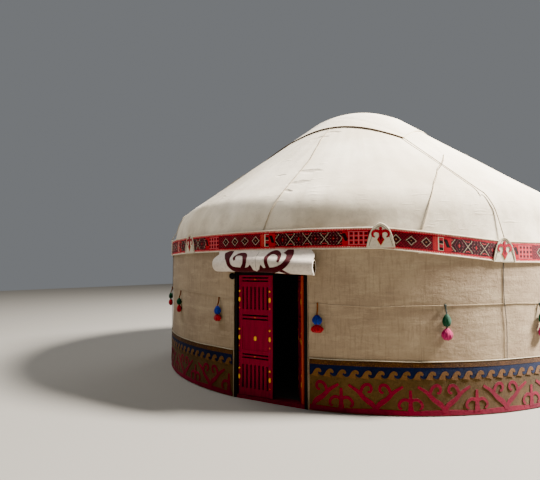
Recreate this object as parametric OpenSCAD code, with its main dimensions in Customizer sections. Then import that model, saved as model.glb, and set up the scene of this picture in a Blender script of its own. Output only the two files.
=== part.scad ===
// A round felt tent on a lattice wall: bent roof poles, a crown ring with
// curved bars, felt covers, patterned bands and a double-leaf wooden door.
// The origin is the middle of the floor, the door faces -Y and +Z is up.
// Azimuths are counted from the door towards +X.

/* [Wall] */
// Outer radius of the felt wall
wall_r = 3300; // [2900:10:3900]
// Height of the lattice, where the roof poles stand
wall_h = 1800; // [1700:10:2000]
// Thickness of the felt covers
felt_t = 12; // [6:1:25]
// Number of lattice sections
sections = 12; // [12]
// Lattice cells across one section
cells_across = 5; // [4:1:6]
// Lattice cells from the ground to the heads
cells_up = 5; // [4:1:6]
// Thickness of a lattice bar
bar_t = 12; // [8:1:20]
// Width of a lattice bar
bar_w = 32; // [20:1:45]
// Length of the bars beyond the first and last crossings
bar_end = 30; // [26:1:36]
// Depth that crossing bars are let into each other
bar_lap = 2; // [1:0.5:4]
// Room left between neighbouring pieces that lie on each other
lay_gap = 1; // [0.5:0.5:3]

/* [Roof] */
// Slope of the upper roof in degrees
roof_slope = 36; // [32:0.5:40]
// Slope of the bent feet of the poles in degrees
foot_slope = 80; // [72:0.5:84]
// Length of the pole foot up to the corner of the bend
foot_l = 560; // [480:5:700]
// Radius of the bend over the eave
bend_r = 500; // [350:10:650]
// Half the thickness of a roof pole's square foot
pole_r = 20; // [16:1:26]
// Radius of the round upper part of a pole
pole_round = 18; // [14:0.5:18]
// Length of the square part above the bend
shoulder_l = 180; // [60:10:400]
// Room between the poles and the felt
felt_gap = 1; // [0.5:0.5:4]
// Radius of the peg on a pole's upper end
peg_r = 10; // [8:1:11]
// Room round a peg in its socket
peg_gap = 0.5; // [0.3:0.1:1]
// Length of the peg in the crown ring
peg_l = 24; // [16:1:26]
// Poles that stand over the door
door_poles = 2; // [2]

/* [Crown] */
// Radius at which the poles meet the crown ring
crown_r = 810; // [700:5:900]
// Inner radius of the crown ring
ring_in = 740; // [640:5:745]
// Depth of the ring below the middle of the poles
ring_drop = 55; // [40:1:80]
// Rise of the crown bars over the ring
crown_rise = 215; // [160:5:260]
// Thickness of the crown bars
crown_bar_t = 28; // [18:1:36]
// Width of the crown bars
crown_bar_w = 26; // [18:1:36]
// Spacing of the crown bars
crown_bar_gap = 115; // [90:5:140]
// Half the side of the square crown cover
cover_half = 1215; // [1050:5:1300]
// Azimuth of one corner of the crown cover
cover_turn = 41; // [30:1:50]
// Room between the crown bars and the cover
cover_gap = 3; // [1:0.5:8]
// Share of the bars' half span on which the cover lies
cover_share = 0.88; // [0.84:0.01:0.92]

/* [Door] */
// Width over the door frame
frame_w = 978; // [900:2:1100]
// Depth of the door frame
frame_d = 120; // [90:1:160]
// Width of a door post
post_w = 40; // [30:1:60]
// Height of the threshold
sill_h = 40; // [25:1:60]
// Height of the door leaves
leaf_h = 1460; // [1350:5:1520]
// Thickness of the door leaves
leaf_t = 42; // [30:1:50]
// Depth of the leaves behind the front of the frame
leaf_setback = 10; // [4:1:20]
// Room round a leaf's turning edge and at its ends
leaf_gap = 7; // [6:0.5:12]
// Room between the closed leaves
meet_gap = 8; // [6:0.5:12]
// Distance of the meeting line from the middle of the door
meet_x = 45; // [0:1:60]
// Angle at which the right leaf stands open
leaf_open = 58; // [40:1:80]
// Radius of the pins that the leaves turn on
pin_r = 11; // [8:0.5:14]
// Length of the pins beyond the leaf
pin_l = 25; // [18:1:32]
// Radial room round a pin
pin_gap = 0.5; // [0.3:0.1:1]
// Room beyond a pin's end
pin_end_gap = 1; // [0.5:0.5:3]
// Width of a leaf's side rail
stile_w = 59; // [45:1:80]
// Width of an upright slot
slot_w = 23; // [14:1:26]
// Spacing of the upright slots
slot_step = 56.5; // [45:0.5:65]
// Height of a cross slot
cross_slot_h = 17; // [8:1:20]
// Depth of the sunk middle panel
panel_sink = 6; // [3:0.5:10]

/* [Covers and bands] */
// Lap of the roof felt below the top of the wall
eave_lap = 15; // [5:5:40]
// Azimuth of the first seam of the roof felt
roof_seam = 32; // [20:1:45]
// Thickness of the woven band, the skirt and the tabs
band_t = 6; // [3:0.5:10]
// Reach of the woven band below the top of the wall
band_lap = 35; // [20:5:60]
// Width of the woven band
band_w = 215; // [180:5:240]
// Drop of the band on the side right of the door
band_sag = 150; // [0:5:160]
// Seam between two lengths of the band
band_seam = 1; // [0.5:0.5:4]
// Drop of the roof felt's edge on that side
eave_sag = 85; // [0:5:100]
// Azimuth of the tab over the door
tab_turn = -1.5; // [-4:0.5:4]
// Number of tab places round the eave
tab_count = 15; // [15]
// Width of a tab
tab_w = 290; // [200:5:340]
// Height of a tab
tab_h = 265; // [220:5:300]
// Height of the skirt's lower edge above the ground
skirt_z = 8; // [4:1:20]
// Width of the skirt
skirt_w = 553; // [450:1:650]

/* [Soft pieces] */
// Radius of the rolled door flap
roll_r = 95; // [80:1:120]
// Thickness of the layers in the roll
roll_t = 24; // [12:1:40]
// Distance of the roll's middle below the top of the wall
roll_drop = 220; // [205:1:260]
// Angle above level at which the flap meets the roll
flap_lean = 30; // [20:1:40]
// Angle by which the flap ends before the roll
flap_short = 0.8; // [0.3:0.1:2]
// Azimuth of the roll's left end
roll_from = -11.5; // [-14:0.5:-10]
// Azimuth of the roll's right end
roll_to = 10.5; // [9:0.5:14]
// Radius of the roof ropes
rope_r = 6; // [4:0.5:10]
// Radius of the knots in the ropes
knot_r = 9; // [7:0.5:14]
// Room between the knots and the roof felt
rope_gap = 4; // [3:0.5:8]
// Radius of the thin ropes down the wall
thin_rope_r = 4; // [2:0.5:5]
// Radius of the knots in the thin ropes
thin_knot_r = 6; // [5:0.5:6]
// Height of the tassels' knots on the wall
tassel_z = 1140; // [1050:5:1200]
// Length of one tuft of yarn
tuft_l = 120; // [80:5:160]
// Radius of the lower tuft
tuft_r = 55; // [35:1:65]
// Length of the cord over the tufts
cord_l = 90; // [60:5:140]
// Radius of a tassel's cord
cord_r = 5; // [3:0.5:8]

/* [Hidden] */
$fn = 64;
round_fn = 360;
eps = 1;

// The wall
lat_out = wall_r - felt_t - lay_gap;
lat_in = lat_out - 2 * bar_t;
lat_mid = lat_out - bar_t;
half_door = asin(frame_w / 2 / lat_in);
section_turn = (360 - 2 * half_door) / sections;
cell_turn = section_turn / cells_across;
felt_pieces = 6;
felt_turn = (360 - 2 * half_door) / felt_pieces;
gap_turn = lay_gap / 2 / lat_in * 180 / PI;

// The roof, as radius and height. The outer line of the poles is the felt's inner line.
corner = [lat_out - foot_l * cos(foot_slope), wall_h + foot_l * sin(foot_slope)];
bend_turn = foot_slope - roof_slope;
bend_run = bend_r * tan(bend_turn / 2);
bend_mid = [corner[0] + bend_run * cos(foot_slope) - bend_r * sin(foot_slope),
    corner[1] - bend_run * sin(foot_slope) - bend_r * cos(foot_slope)];
function bend_point(slope, r) = bend_mid + r * [sin(slope), cos(slope)];
function along(slope) = [-cos(slope), sin(slope)];
pole_bend = bend_r - felt_gap - pole_r;
bend_steps = 8;
top_start = bend_point(roof_slope, pole_bend);
slope_l = (top_start[0] - crown_r) / cos(roof_slope);
ring_point = top_start + slope_l * along(roof_slope);
up_normal = [sin(roof_slope), cos(roof_slope)];
pole_count = sections * cells_across + 1 + door_poles;
pole_nodes = 7;
roof_pieces = 4;
function pole_turn(i) = i < door_poles
    ? half_door * (2 * i + 1 - door_poles) / (door_poles + 1)
    : half_door + (i - door_poles) * cell_turn;

// The crown
ring_top = ring_point + (pole_r + felt_gap + felt_t) * up_normal;
ring_low = ring_point - ring_drop * up_normal;
bar_foot = (ring_in + ring_top[0]) / 2;
dome_r = (pow(bar_foot, 2) + pow(crown_rise, 2)) / (2 * crown_rise);
dome_z = ring_top[1] + crown_rise - dome_r;
cover_r = dome_r + crown_bar_t / 2 + cover_gap;
cover_edge = cover_share * bar_foot;
cover_low = cover_half * sqrt(2) + 100;

// The door, closed and seen from outside
door_y = sqrt(pow(wall_r, 2) - pow(frame_w / 2, 2));
clear_w = frame_w - 2 * post_w;
leaf_y = -door_y + leaf_setback + leaf_t / 2;
pin_x = clear_w / 2 - leaf_t / 2 - leaf_gap;
leaf_z = sill_h + leaf_gap;
lintel_z = leaf_z + leaf_h + leaf_gap;

// The bands
eave_z = wall_h - eave_lap;
band_z = wall_h - band_lap;
eave_r = wall_r + lay_gap;
band_r = eave_r + felt_t + lay_gap;
tab_step = 360 / tab_count;
tab_r = band_r + band_t + lay_gap;
roll_z = wall_h - roll_drop;
roll_mid = tab_r + lay_gap + roll_r;
seen_tassels = [-47, -32, -13.2, 10.6, 34.1, 55.5];
tassel_turns = concat(seen_tassels, [for (k = [0 : 10]) 77 + 21.4 * k]);
rope_turns = [for (i = [2, 6, 9, 13]) tab_azimuth(i)];
rope_shares = [0, 0.6, 0.75, 0.85, 0.95, 1];
rope_sway = [0, -0.2, 0.2, 0];
function band_drop(i) = (i >= 2 && i <= 5) ? band_sag : 0;
function tab_azimuth(i) = tab_turn + i * tab_step;

// Solids of revolution over a stretch of azimuth
module turned(from, to)
    rotate([0, 0, from - 90]) rotate_extrude(angle = to - from, $fn = round_fn) children();

module shell(from, to, r_in, r_out, low, high)
    turned(from, to) translate([r_in, low]) square([r_out - r_in, high - low]);

module at(azimuth)
    rotate([0, 0, azimuth - 90]) children();

// A flat outline pushed outwards through the wall at an azimuth, x to the right and y up
module pushed_out(azimuth)
    rotate([0, 0, azimuth]) translate([0, -wall_r / 2, 0]) rotate([90, 0, 0])
        linear_extrude(wall_r) children();

module door_gap()
    translate([-frame_w / 2, -2 * wall_r, -eps]) cube([frame_w, 1.5 * wall_r, wall_h + 2 * eps]);

// The crown ring, with a socket for every pole
module crown_ring() color("peru") difference() {
    rotate_extrude($fn = round_fn)
        polygon([ring_low, ring_top, [ring_in, ring_top[1]], [ring_in, ring_low[1]]]);
    for (i = [0 : pole_count - 1]) at(pole_turn(i)) peg(peg_r + peg_gap, peg_l + peg_gap);
}

module crown_bars() color("peru") intersection() {
    translate([0, 0, dome_z]) difference() {
        sphere(dome_r + crown_bar_t / 2, $fn = round_fn);
        sphere(dome_r - crown_bar_t / 2, $fn = round_fn);
    }
    translate([0, 0, ring_top[1]]) cylinder(r = ring_top[0], h = 2 * crown_rise, $fn = round_fn);
    union() for (i = [-1 : 1], turn = [0, 90]) rotate([0, 0, turn])
        translate([-crown_r, i * crown_bar_gap - crown_bar_w / 2, ring_top[1] - crown_rise])
            cube([2 * crown_r, crown_bar_w, 3 * crown_rise]);
}

// The square felt over the crown, its corners drawn down the roof by ropes
module cover_section() {
    slope_end = ring_top + (cover_low - ring_top[0]) * [1, -tan(roof_slope)];
    inner = [for (k = [0 : 6]) let (x = cover_edge * k / 6)
        [x, dome_z + sqrt(pow(cover_r, 2) - pow(x, 2))]];
    outer = [for (k = [6 : -1 : 0]) let (x = cover_edge * k / 6)
        [x, dome_z + sqrt(pow(cover_r + felt_t, 2) - pow(x, 2))]];
    polygon(concat(inner, [ring_top, slope_end, slope_end + felt_t * up_normal,
        ring_top + felt_t * up_normal], outer));
}

module crown_cover() color("ivory") intersection() {
    rotate_extrude($fn = round_fn) cover_section();
    rotate([0, 0, cover_turn - 45]) translate([-cover_half, -cover_half, 0])
        cube([2 * cover_half, 2 * cover_half, 2 * wall_r]);
}

// Roof poles, drawn in the plane of azimuth +X: a square bent foot that stands on the
// lattice, and a round upper part with a peg in the crown ring
module on_slope(from)
    translate([from[0], 0, from[1]]) rotate([0, roof_slope - 90, 0]) children();

module peg(r, length)
    on_slope(ring_point) translate([0, 0, -eps]) cylinder(r = r, h = length + eps);

function bend_line(r) = [for (k = [0 : bend_steps])
    bend_point(foot_slope - bend_turn * k / bend_steps, r)];
function pole_foot(r) = let (p = bend_point(foot_slope, r))
    [p[0] + (p[1] - wall_h) / tan(foot_slope), wall_h];
function backwards(list) = [for (i = [len(list) - 1 : -1 : 0]) list[i]];

module pole_bent_foot() {
    low = pole_bend - pole_r;
    high = pole_bend + pole_r;
    shoulder = shoulder_l * along(roof_slope);
    rotate([90, 0, 0]) translate([0, 0, -pole_r]) linear_extrude(2 * pole_r) polygon(concat(
        [pole_foot(high)], bend_line(high), [bend_point(roof_slope, high) + shoulder],
        [bend_point(roof_slope, low) + shoulder], backwards(bend_line(low)), [pole_foot(low)]));
}

module pole() {
    pole_bent_foot();
    on_slope(top_start + (shoulder_l - pole_r) * along(roof_slope))
        cylinder(r = pole_round, h = slope_l - shoulder_l + pole_r);
    peg(peg_r, peg_l);
}

module roof_poles(group) color("firebrick")
    for (i = [0 : pole_count - 1]) if (floor(i * pole_nodes / pole_count) == group)
        at(pole_turn(i)) pole();

// The felt on the poles, lapping over the top of the wall felt
module roof_section(edge_z) {
    end = ring_point - lay_gap * along(roof_slope);
    low = pole_r + felt_gap;
    polygon(concat([[eave_r, edge_z], [eave_r, wall_h]], bend_line(bend_r),
        [end + low * up_normal, end + (low + felt_t) * up_normal], backwards(bend_line(bend_r + felt_t)),
        [[eave_r + felt_t, wall_h], [eave_r + felt_t, edge_z]]));
}

module roof_felt(i) color("ivory")
    turned(roof_seam + i * 360 / roof_pieces + gap_turn, roof_seam + (i + 1) * 360 / roof_pieces - gap_turn)
        roof_section(i == 0 ? eave_z - eave_sag : eave_z);

// One section of the lattice: two layers of slanting bars, let into each other
module slanting_bars(side)
    pushed_out(0) for (i = [0 : cells_across + cells_up]) {
        step = 2 * lat_mid * sin(section_turn / 2) / cells_across;
        head = (i - cells_across / 2) * step;
        foot = head - cells_up * step;
        lean = atan(cells_up * step / (wall_h - 2 * bar_end));
        mirror([side, 0, 0]) translate([foot, bar_end]) rotate([0, 0, -lean])
            translate([-bar_w / 2, -3 * bar_end]) square([bar_w, wall_h / cos(lean) + 4 * bar_end]);
    }

module lattice(i) {
    mid = half_door + (i + 0.5) * section_turn;
    spread = section_turn / 2 - gap_turn;
    color("firebrick") difference() {
        rotate([0, 0, mid]) union() {
            intersection() {
                shell(-spread, spread, lat_in, lat_mid + bar_lap / 2, 0, wall_h);
                slanting_bars(0);
            }
            intersection() {
                shell(-spread, spread, lat_mid - bar_lap / 2, lat_out, 0, wall_h);
                slanting_bars(1);
            }
        }
        door_gap();
    }
}

module wall_felt(i) color("tan") difference() {
    reach = i == 0 ? 1 : 0;
    reach_end = i == felt_pieces - 1 ? 1 : 0;
    from = half_door + i * felt_turn + gap_turn;
    to = from + felt_turn - 2 * gap_turn;
    shell(from - reach, to + reach_end,
        wall_r - felt_t, wall_r, 0, wall_h - lay_gap);
    door_gap();
}

// The door frame
module frame_block(x, z, w, h) color("saddlebrown")
    translate([x, -door_y, z]) cube([w, frame_d, h]);

module pin_hole(side, z)
    translate([side * pin_x, leaf_y, z]) cylinder(r = pin_r + pin_gap, h = pin_l);

module door_post_left() frame_block(-frame_w / 2, 0, post_w, wall_h);

module door_post_right() frame_block(frame_w / 2 - post_w, 0, post_w, wall_h);

module door_lintel() difference() {
    frame_block(-clear_w / 2, lintel_z, clear_w, wall_h - lintel_z);
    for (side = [-1, 1]) pin_hole(side, lintel_z - leaf_gap);
}

module door_threshold() difference() {
    frame_block(-clear_w / 2, 0, clear_w, sill_h);
    for (side = [-1, 1]) pin_hole(side, sill_h + leaf_gap - pin_l);
}

// A leaf drawn from its turning axis towards +X, with round turning edge and pins. Its
// carving is upright slots in two grilles, pairs of cross slots, and a sunk panel.
grilles = leaf_h * [[0.056, 0.244], [0.692, 0.874]];
cross_slots = leaf_h * [0.299, 0.325, 0.612, 0.642, 0.923, 0.949];
panel = leaf_h * [0.363, 0.551];

module leaf_carving(w) {
    span = w + leaf_t / 2 - 2 * stile_w;
    slots = floor((span - slot_w) / slot_step) + 1;
    mid = (w - leaf_t / 2) / 2;
    run = (slots - 1) * slot_step + slot_w;
    for (z = grilles, k = [0 : slots - 1])
        translate([mid - run / 2 + k * slot_step, -leaf_t, z[0]]) cube([slot_w, 2 * leaf_t, z[1] - z[0]]);
    for (z = cross_slots)
        translate([mid - run / 2, -leaf_t, z - cross_slot_h / 2]) cube([run, 2 * leaf_t, cross_slot_h]);
    translate([mid - run / 2, -leaf_t / 2 - panel_sink, panel[0]])
        cube([run, 2 * panel_sink, panel[1] - panel[0]]);
}

module leaf(w) difference() {
    union() {
        cylinder(r = leaf_t / 2, h = leaf_h);
        translate([0, -leaf_t / 2, 0]) cube([w, leaf_t, leaf_h]);
        translate([0, 0, pin_end_gap - pin_l]) cylinder(r = pin_r, h = leaf_h + 2 * (pin_l - pin_end_gap));
    }
    leaf_carving(w);
}

module left_door_leaf() color("crimson")
    translate([-pin_x, leaf_y, leaf_z]) leaf(meet_x - meet_gap / 2 + pin_x);

module right_door_leaf() color("crimson")
    translate([pin_x, leaf_y, leaf_z]) rotate([0, 0, -leaf_open])
        mirror([1, 0, 0]) leaf(pin_x - meet_x - meet_gap / 2);

// The rolled door flap: it comes down from under the band and hangs rolled up from below
module roll_flap() {
    reach = [cos(flap_lean), sin(flap_lean)];
    middle = [roll_mid, roll_z];
    top = [band_r, band_z - lay_gap];
    polygon([top, top + [felt_t, 0], middle + roll_r * reach, middle + (roll_r - felt_t) * reach]);
}

module door_roll() color("antiquewhite") {
    turned(roll_from, roll_to) translate([roll_mid, roll_z]) difference() {
        circle(roll_r);
        circle(roll_r - roll_t);
    }
    turned(roll_from + gap_turn, roll_to - flap_short) roll_flap();
}

// The band in lengths that are sewn end to end, and its tabs, lower on the side right of the door
module band_length(from, to) {
    seam_turn = band_seam / 2 / band_r * 180 / PI;
    half = tab_r * sin((tab_azimuth(to) - tab_azimuth(from)) / 2);
    low = min(band_z - band_drop(from), band_z - band_drop(to));
    high = max(band_z - band_drop(from), band_z - band_drop(to)) + band_w;
    intersection() {
        shell(tab_azimuth(from) + seam_turn, tab_azimuth(to) - seam_turn, band_r, band_r + band_t, low, high);
        if (band_drop(from) != band_drop(to)) pushed_out((tab_azimuth(from) + tab_azimuth(to)) / 2)
            polygon([[-half, band_z - band_drop(from)], [half, band_z - band_drop(to)],
                [half, band_z - band_drop(to) + band_w], [-half, band_z - band_drop(from) + band_w]]);
    }
}

module woven_band() color("darkred") {
    band_length(6, tab_count + 1);
    band_length(1, 2);
    band_length(2, 5);
    band_length(5, 6);
}

module tab_shape() {
    arch = tab_w / 2;
    translate([-arch, 0]) square([tab_w, tab_h - arch]);
    translate([0, tab_h - arch]) circle(arch);
}

module eave_tabs() color("wheat") for (i = [1 : tab_count - 1]) intersection() {
    shell(tab_azimuth(i - 0.5), tab_azimuth(i + 0.5), tab_r, tab_r + band_t, eave_z / 2, 2 * wall_h);
    pushed_out(tab_azimuth(i)) translate([0, band_z - band_drop(i)]) tab_shape();
}

module skirt() color("steelblue") difference() {
    shell(half_door, 360 - half_door, eave_r, eave_r + band_t, skirt_z, skirt_z + skirt_w);
    door_gap();
}

// Ropes from the cover's corners down to the tabs, and on from the tabs to the skirt,
// with a knot at every turn
module rope_run(points, r, knot) {
    for (k = [0 : len(points) - 2]) let (a = points[k], d = points[k + 1] - a)
        translate(a) rotate([0, acos(d[2] / norm(d)), atan2(d[1], d[0])]) cylinder(r = r, h = norm(d));
    for (a = points) translate(a) sphere(knot);
}

function spot(azimuth, line) = [line[0] * sin(azimuth), -line[0] * cos(azimuth), line[1]];

module roof_rope(corner_turn, tab_here) {
    down = [1, -tan(roof_slope)];
    cover_corner = ring_top + (cover_half * sqrt(2) - ring_top[0]) * down;
    start = cover_corner + (knot_r + rope_gap) * up_normal + (knot_r + lay_gap) * down;
    rise = bend_r + felt_t + knot_r + rope_gap;
    tab_top = [tab_r + band_t / 2, band_z + tab_h - tab_drop(tab_here) + knot_r + lay_gap];
    line = [start, bend_point(roof_slope, rise), bend_point(roof_slope + bend_turn / 3, rise),
        bend_point(foot_slope - bend_turn / 3, rise), bend_point(foot_slope, rise), tab_top];
    rope_run([for (k = [0 : 5]) spot(corner_turn + (tab_here - corner_turn) * rope_shares[k], line[k])],
        rope_r, knot_r);
}

// The thin rope starts behind the band and ends over the skirt, and it hangs a little crooked
module wall_rope(tab_here) {
    side = eave_r + thin_knot_r;
    top = band_z - tab_drop(tab_here) + thin_knot_r;
    low = skirt_z + skirt_w + thin_knot_r + lay_gap;
    rope_run([for (k = [0 : 3]) spot(tab_here + rope_sway[k], [side, top + (low - top) * k / 3])],
        thin_rope_r, thin_knot_r);
}

function tab_drop(azimuth) = band_drop(round(((azimuth - tab_turn + 360) % 360) / tab_step));

module roof_ropes() color("white") for (k = [0 : 3]) {
    roof_rope(cover_turn + 90 * k, rope_turns[k]);
    wall_rope(rope_turns[k]);
}

// Tassels: a knot and a cord on the wall, and two tufts of yarn that lie against it
module tassel() rotate_extrude() polygon([[0, 0], [0.9 * tuft_r, 0], [tuft_r, 0.1 * tuft_l],
    [0.8 * tuft_r, 0.5 * tuft_l], [0.25 * tuft_r, 0.93 * tuft_l], [cord_r, tuft_l],
    [cord_r, 1.2 * tuft_l], [0.75 * tuft_r, 1.2 * tuft_l], [0.82 * tuft_r, 1.3 * tuft_l],
    [0.62 * tuft_r, 1.7 * tuft_l], [0.22 * tuft_r, 2.13 * tuft_l], [cord_r, 2.2 * tuft_l],
    [cord_r, 2.2 * tuft_l + cord_l], [2 * cord_r, 2.2 * tuft_l + cord_l + cord_r],
    [2 * cord_r, 2.2 * tuft_l + cord_l + 3 * cord_r], [0, 2.2 * tuft_l + cord_l + 4 * cord_r]]);

module tassels() color("teal") difference() {
    for (turn = tassel_turns) at(turn)
        translate([eave_r + 2 * cord_r, 0, tassel_z - 2.2 * tuft_l - cord_l - 2 * cord_r]) tassel();
    translate([0, 0, skirt_z]) cylinder(r = eave_r, h = wall_h, $fn = round_fn);
}

crown_ring();
crown_bars();
crown_cover();
roof_poles(0);  // roof_poles_1
roof_poles(1);  // roof_poles_2
roof_poles(2);  // roof_poles_3
roof_poles(3);  // roof_poles_4
roof_poles(4);  // roof_poles_5
roof_poles(5);  // roof_poles_6
roof_poles(6);  // roof_poles_7
roof_felt(0);  // roof_felt_1
roof_felt(1);  // roof_felt_2
roof_felt(2);  // roof_felt_3
roof_felt(3);  // roof_felt_4
lattice(0);  // lattice_1
lattice(1);  // lattice_2
lattice(2);  // lattice_3
lattice(3);  // lattice_4
lattice(4);  // lattice_5
lattice(5);  // lattice_6
lattice(6);  // lattice_7
lattice(7);  // lattice_8
lattice(8);  // lattice_9
lattice(9);  // lattice_10
lattice(10);  // lattice_11
lattice(11);  // lattice_12
wall_felt(0);  // wall_felt_1
wall_felt(1);  // wall_felt_2
wall_felt(2);  // wall_felt_3
wall_felt(3);  // wall_felt_4
wall_felt(4);  // wall_felt_5
wall_felt(5);  // wall_felt_6
door_post_left();
door_post_right();
door_lintel();
door_threshold();
left_door_leaf();
right_door_leaf();
door_roll();
woven_band();
eave_tabs();
skirt();
roof_ropes();
tassels();
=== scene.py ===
# The felt tent's looks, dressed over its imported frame. Metres and degrees; the door faces -Y,
# azimuths are counted from the door towards +X, and "out" is away from the middle of the tent.
import math

import bpy
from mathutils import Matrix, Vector, noise


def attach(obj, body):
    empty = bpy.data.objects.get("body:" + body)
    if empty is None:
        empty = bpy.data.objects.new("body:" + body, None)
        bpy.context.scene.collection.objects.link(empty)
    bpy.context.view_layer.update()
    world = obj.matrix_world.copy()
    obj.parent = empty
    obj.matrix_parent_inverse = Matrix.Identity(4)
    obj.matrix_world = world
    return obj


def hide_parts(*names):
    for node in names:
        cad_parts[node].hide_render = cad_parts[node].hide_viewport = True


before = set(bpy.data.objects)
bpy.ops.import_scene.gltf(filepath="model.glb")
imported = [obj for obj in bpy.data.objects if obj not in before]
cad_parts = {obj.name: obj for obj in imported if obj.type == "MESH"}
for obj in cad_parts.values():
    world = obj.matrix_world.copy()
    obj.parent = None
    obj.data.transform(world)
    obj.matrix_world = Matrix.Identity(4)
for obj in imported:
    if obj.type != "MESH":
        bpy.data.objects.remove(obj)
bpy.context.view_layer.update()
bpy.ops.object.select_all(action="DESELECT")

# Sizes that the pieces share with the frame
WALL_R, WALL_H = 3.3, 1.8
FELT, LAY_GAP, FELT_GAP = 0.012, 0.001, 0.001
LATHS = 0.024
LATTICE_IN = WALL_R - FELT - LAY_GAP - LATHS
DOOR_W = 0.978
HALF_DOOR = math.degrees(math.asin(DOOR_W / 2 / LATTICE_IN))
WALL_TURN = 360 - 2 * HALF_DOOR
CELL_TURN = WALL_TURN / 60
FOOT_SLOPE, ROOF_SLOPE = 80, 36
FOOT_L, BEND_R = 0.56, 0.5
POLE_TOP_R, POLE_R = 0.81, 0.02
CROWN_RISE, CROWN_BAR, RING_IN = 0.215, 0.028, 0.74
COVER_HALF, COVER_TURN, COVER_ROOM = 1.215, 41, 0.003
EAVE_Z, EAVE_SAG = 1.785, 0.085
BAND_T, BAND_Z, BAND_W, BAND_SAG = 0.006, 1.765, 0.215, 0.15
TAB_TURN, TAB_COUNT = -1.5, 15
TAB_STEP = 360 / TAB_COUNT
TAB_W, TAB_H = 0.29, 0.265
SKIRT_Z, SKIRT_W = 0.008, 0.553
EAVE_R = WALL_R + LAY_GAP
BAND_R = EAVE_R + FELT + LAY_GAP
TAB_R = BAND_R + BAND_T + LAY_GAP
DOOR_FRONT = -math.sqrt(WALL_R**2 - (DOOR_W / 2) ** 2)
LEAF_T, LEAF_Z, LEAF_H = 0.042, 0.047, 1.46
LEAF_Y = DOOR_FRONT + 0.01 + LEAF_T / 2
PIN_X = 0.421


def sin(degrees):
    return math.sin(math.radians(degrees))


def cos(degrees):
    return math.cos(math.radians(degrees))


def tan(degrees):
    return math.tan(math.radians(degrees))


def at(azimuth, r, z):
    """The point at an azimuth, a radius and a height."""
    return Vector((r * sin(azimuth), -r * cos(azimuth), z))


# The roof line, as the frame draws it
CORNER = (WALL_R - FELT - LAY_GAP - FOOT_L * cos(FOOT_SLOPE), WALL_H + FOOT_L * sin(FOOT_SLOPE))
BEND_RUN = BEND_R * tan((FOOT_SLOPE - ROOF_SLOPE) / 2)
BEND_MID = (
    CORNER[0] + BEND_RUN * cos(FOOT_SLOPE) - BEND_R * sin(FOOT_SLOPE),
    CORNER[1] - BEND_RUN * sin(FOOT_SLOPE) - BEND_R * cos(FOOT_SLOPE),
)


def bend_point(slope, r):
    return (BEND_MID[0] + r * sin(slope), BEND_MID[1] + r * cos(slope))


POLE_BEND = BEND_R - FELT_GAP - POLE_R
TOP_START = bend_point(ROOF_SLOPE, POLE_BEND)
SLOPE_L = (TOP_START[0] - POLE_TOP_R) / cos(ROOF_SLOPE)
RING_MID = (POLE_TOP_R, TOP_START[1] + SLOPE_L * sin(ROOF_SLOPE))
OVER_RING = POLE_R + FELT_GAP + FELT
RING_TOP = (RING_MID[0] + OVER_RING * sin(ROOF_SLOPE), RING_MID[1] + OVER_RING * cos(ROOF_SLOPE))
BAR_FOOT = (RING_IN + RING_TOP[0]) / 2
DOME_R = (BAR_FOOT**2 + CROWN_RISE**2) / (2 * CROWN_RISE)
DOME_Z = RING_TOP[1] + CROWN_RISE - DOME_R
COVER_R = DOME_R + CROWN_BAR / 2 + COVER_ROOM
COVER_EDGE = 0.88 * BAR_FOOT


def level(stops, place):
    """The value at a place between (place, value) stops, held past both ends."""
    for (low, a), (high, b) in zip(stops, stops[1:]):
        if place <= high:
            return a + (b - a) * max(place - low, 0.0) / (high - low)
    return stops[-1][1]


class Line:
    """A line of (radius, height) points that is walked by its length, from 0 to 1."""

    def __init__(self, points):
        self.points = points
        self.at = [0.0]
        for a, b in zip(points, points[1:]):
            self.at.append(self.at[-1] + math.dist(a, b))
        self.length = self.at[-1]

    def point(self, share):
        way = min(max(share, 0.0), 1.0) * self.length
        for i in range(1, len(self.points)):
            if way <= self.at[i] or i == len(self.points) - 1:
                part = (way - self.at[i - 1]) / (self.at[i] - self.at[i - 1])
                a, b = self.points[i - 1], self.points[i]
                return tuple(p + (q - p) * part for p, q in zip(a, b))

    def out(self, share, near=0.004):
        """The direction away from the line, outwards and up."""
        a, b = self.point(share - near), self.point(share + near)
        run = math.dist(a, b)
        return ((b[1] - a[1]) / run, (a[0] - b[0]) / run)


def roof_line(edge_z, steps=16):
    slopes = [FOOT_SLOPE - (FOOT_SLOPE - ROOF_SLOPE) * k / steps for k in range(steps + 1)]
    bend = [bend_point(slope, BEND_R + FELT) for slope in slopes]
    return Line([(EAVE_R + FELT, edge_z), (EAVE_R + FELT, WALL_H), *bend, RING_TOP])


def cover_z(r):
    """The height of the crown cover's top over a radius."""
    over = COVER_R + FELT
    if r <= COVER_EDGE:
        return DOME_Z + math.sqrt(over**2 - r**2)
    start = (COVER_EDGE, DOME_Z + math.sqrt(over**2 - COVER_EDGE**2))
    ring = (RING_TOP[0] + FELT * sin(ROOF_SLOPE), RING_TOP[1] + FELT * cos(ROOF_SLOPE))
    if r <= ring[0]:
        part = (r - start[0]) / (ring[0] - start[0])
        return start[1] + (ring[1] - start[1]) * part
    return ring[1] - (r - ring[0]) * tan(ROOF_SLOPE)


# ---- Camera, lights and floor, as in the photograph ----

camera_data = bpy.data.cameras.new("camera")
camera_data.lens = 29.29
camera_data.sensor_width = 36
camera_data.clip_end = 200
camera = bpy.data.objects.new("camera", camera_data)
bpy.context.scene.collection.objects.link(camera)
camera.location = (2.601, -7.728, 1.538)
camera.rotation_euler = (math.radians(93.78), math.radians(0.09), math.radians(30.1))
bpy.context.scene.camera = camera


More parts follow.
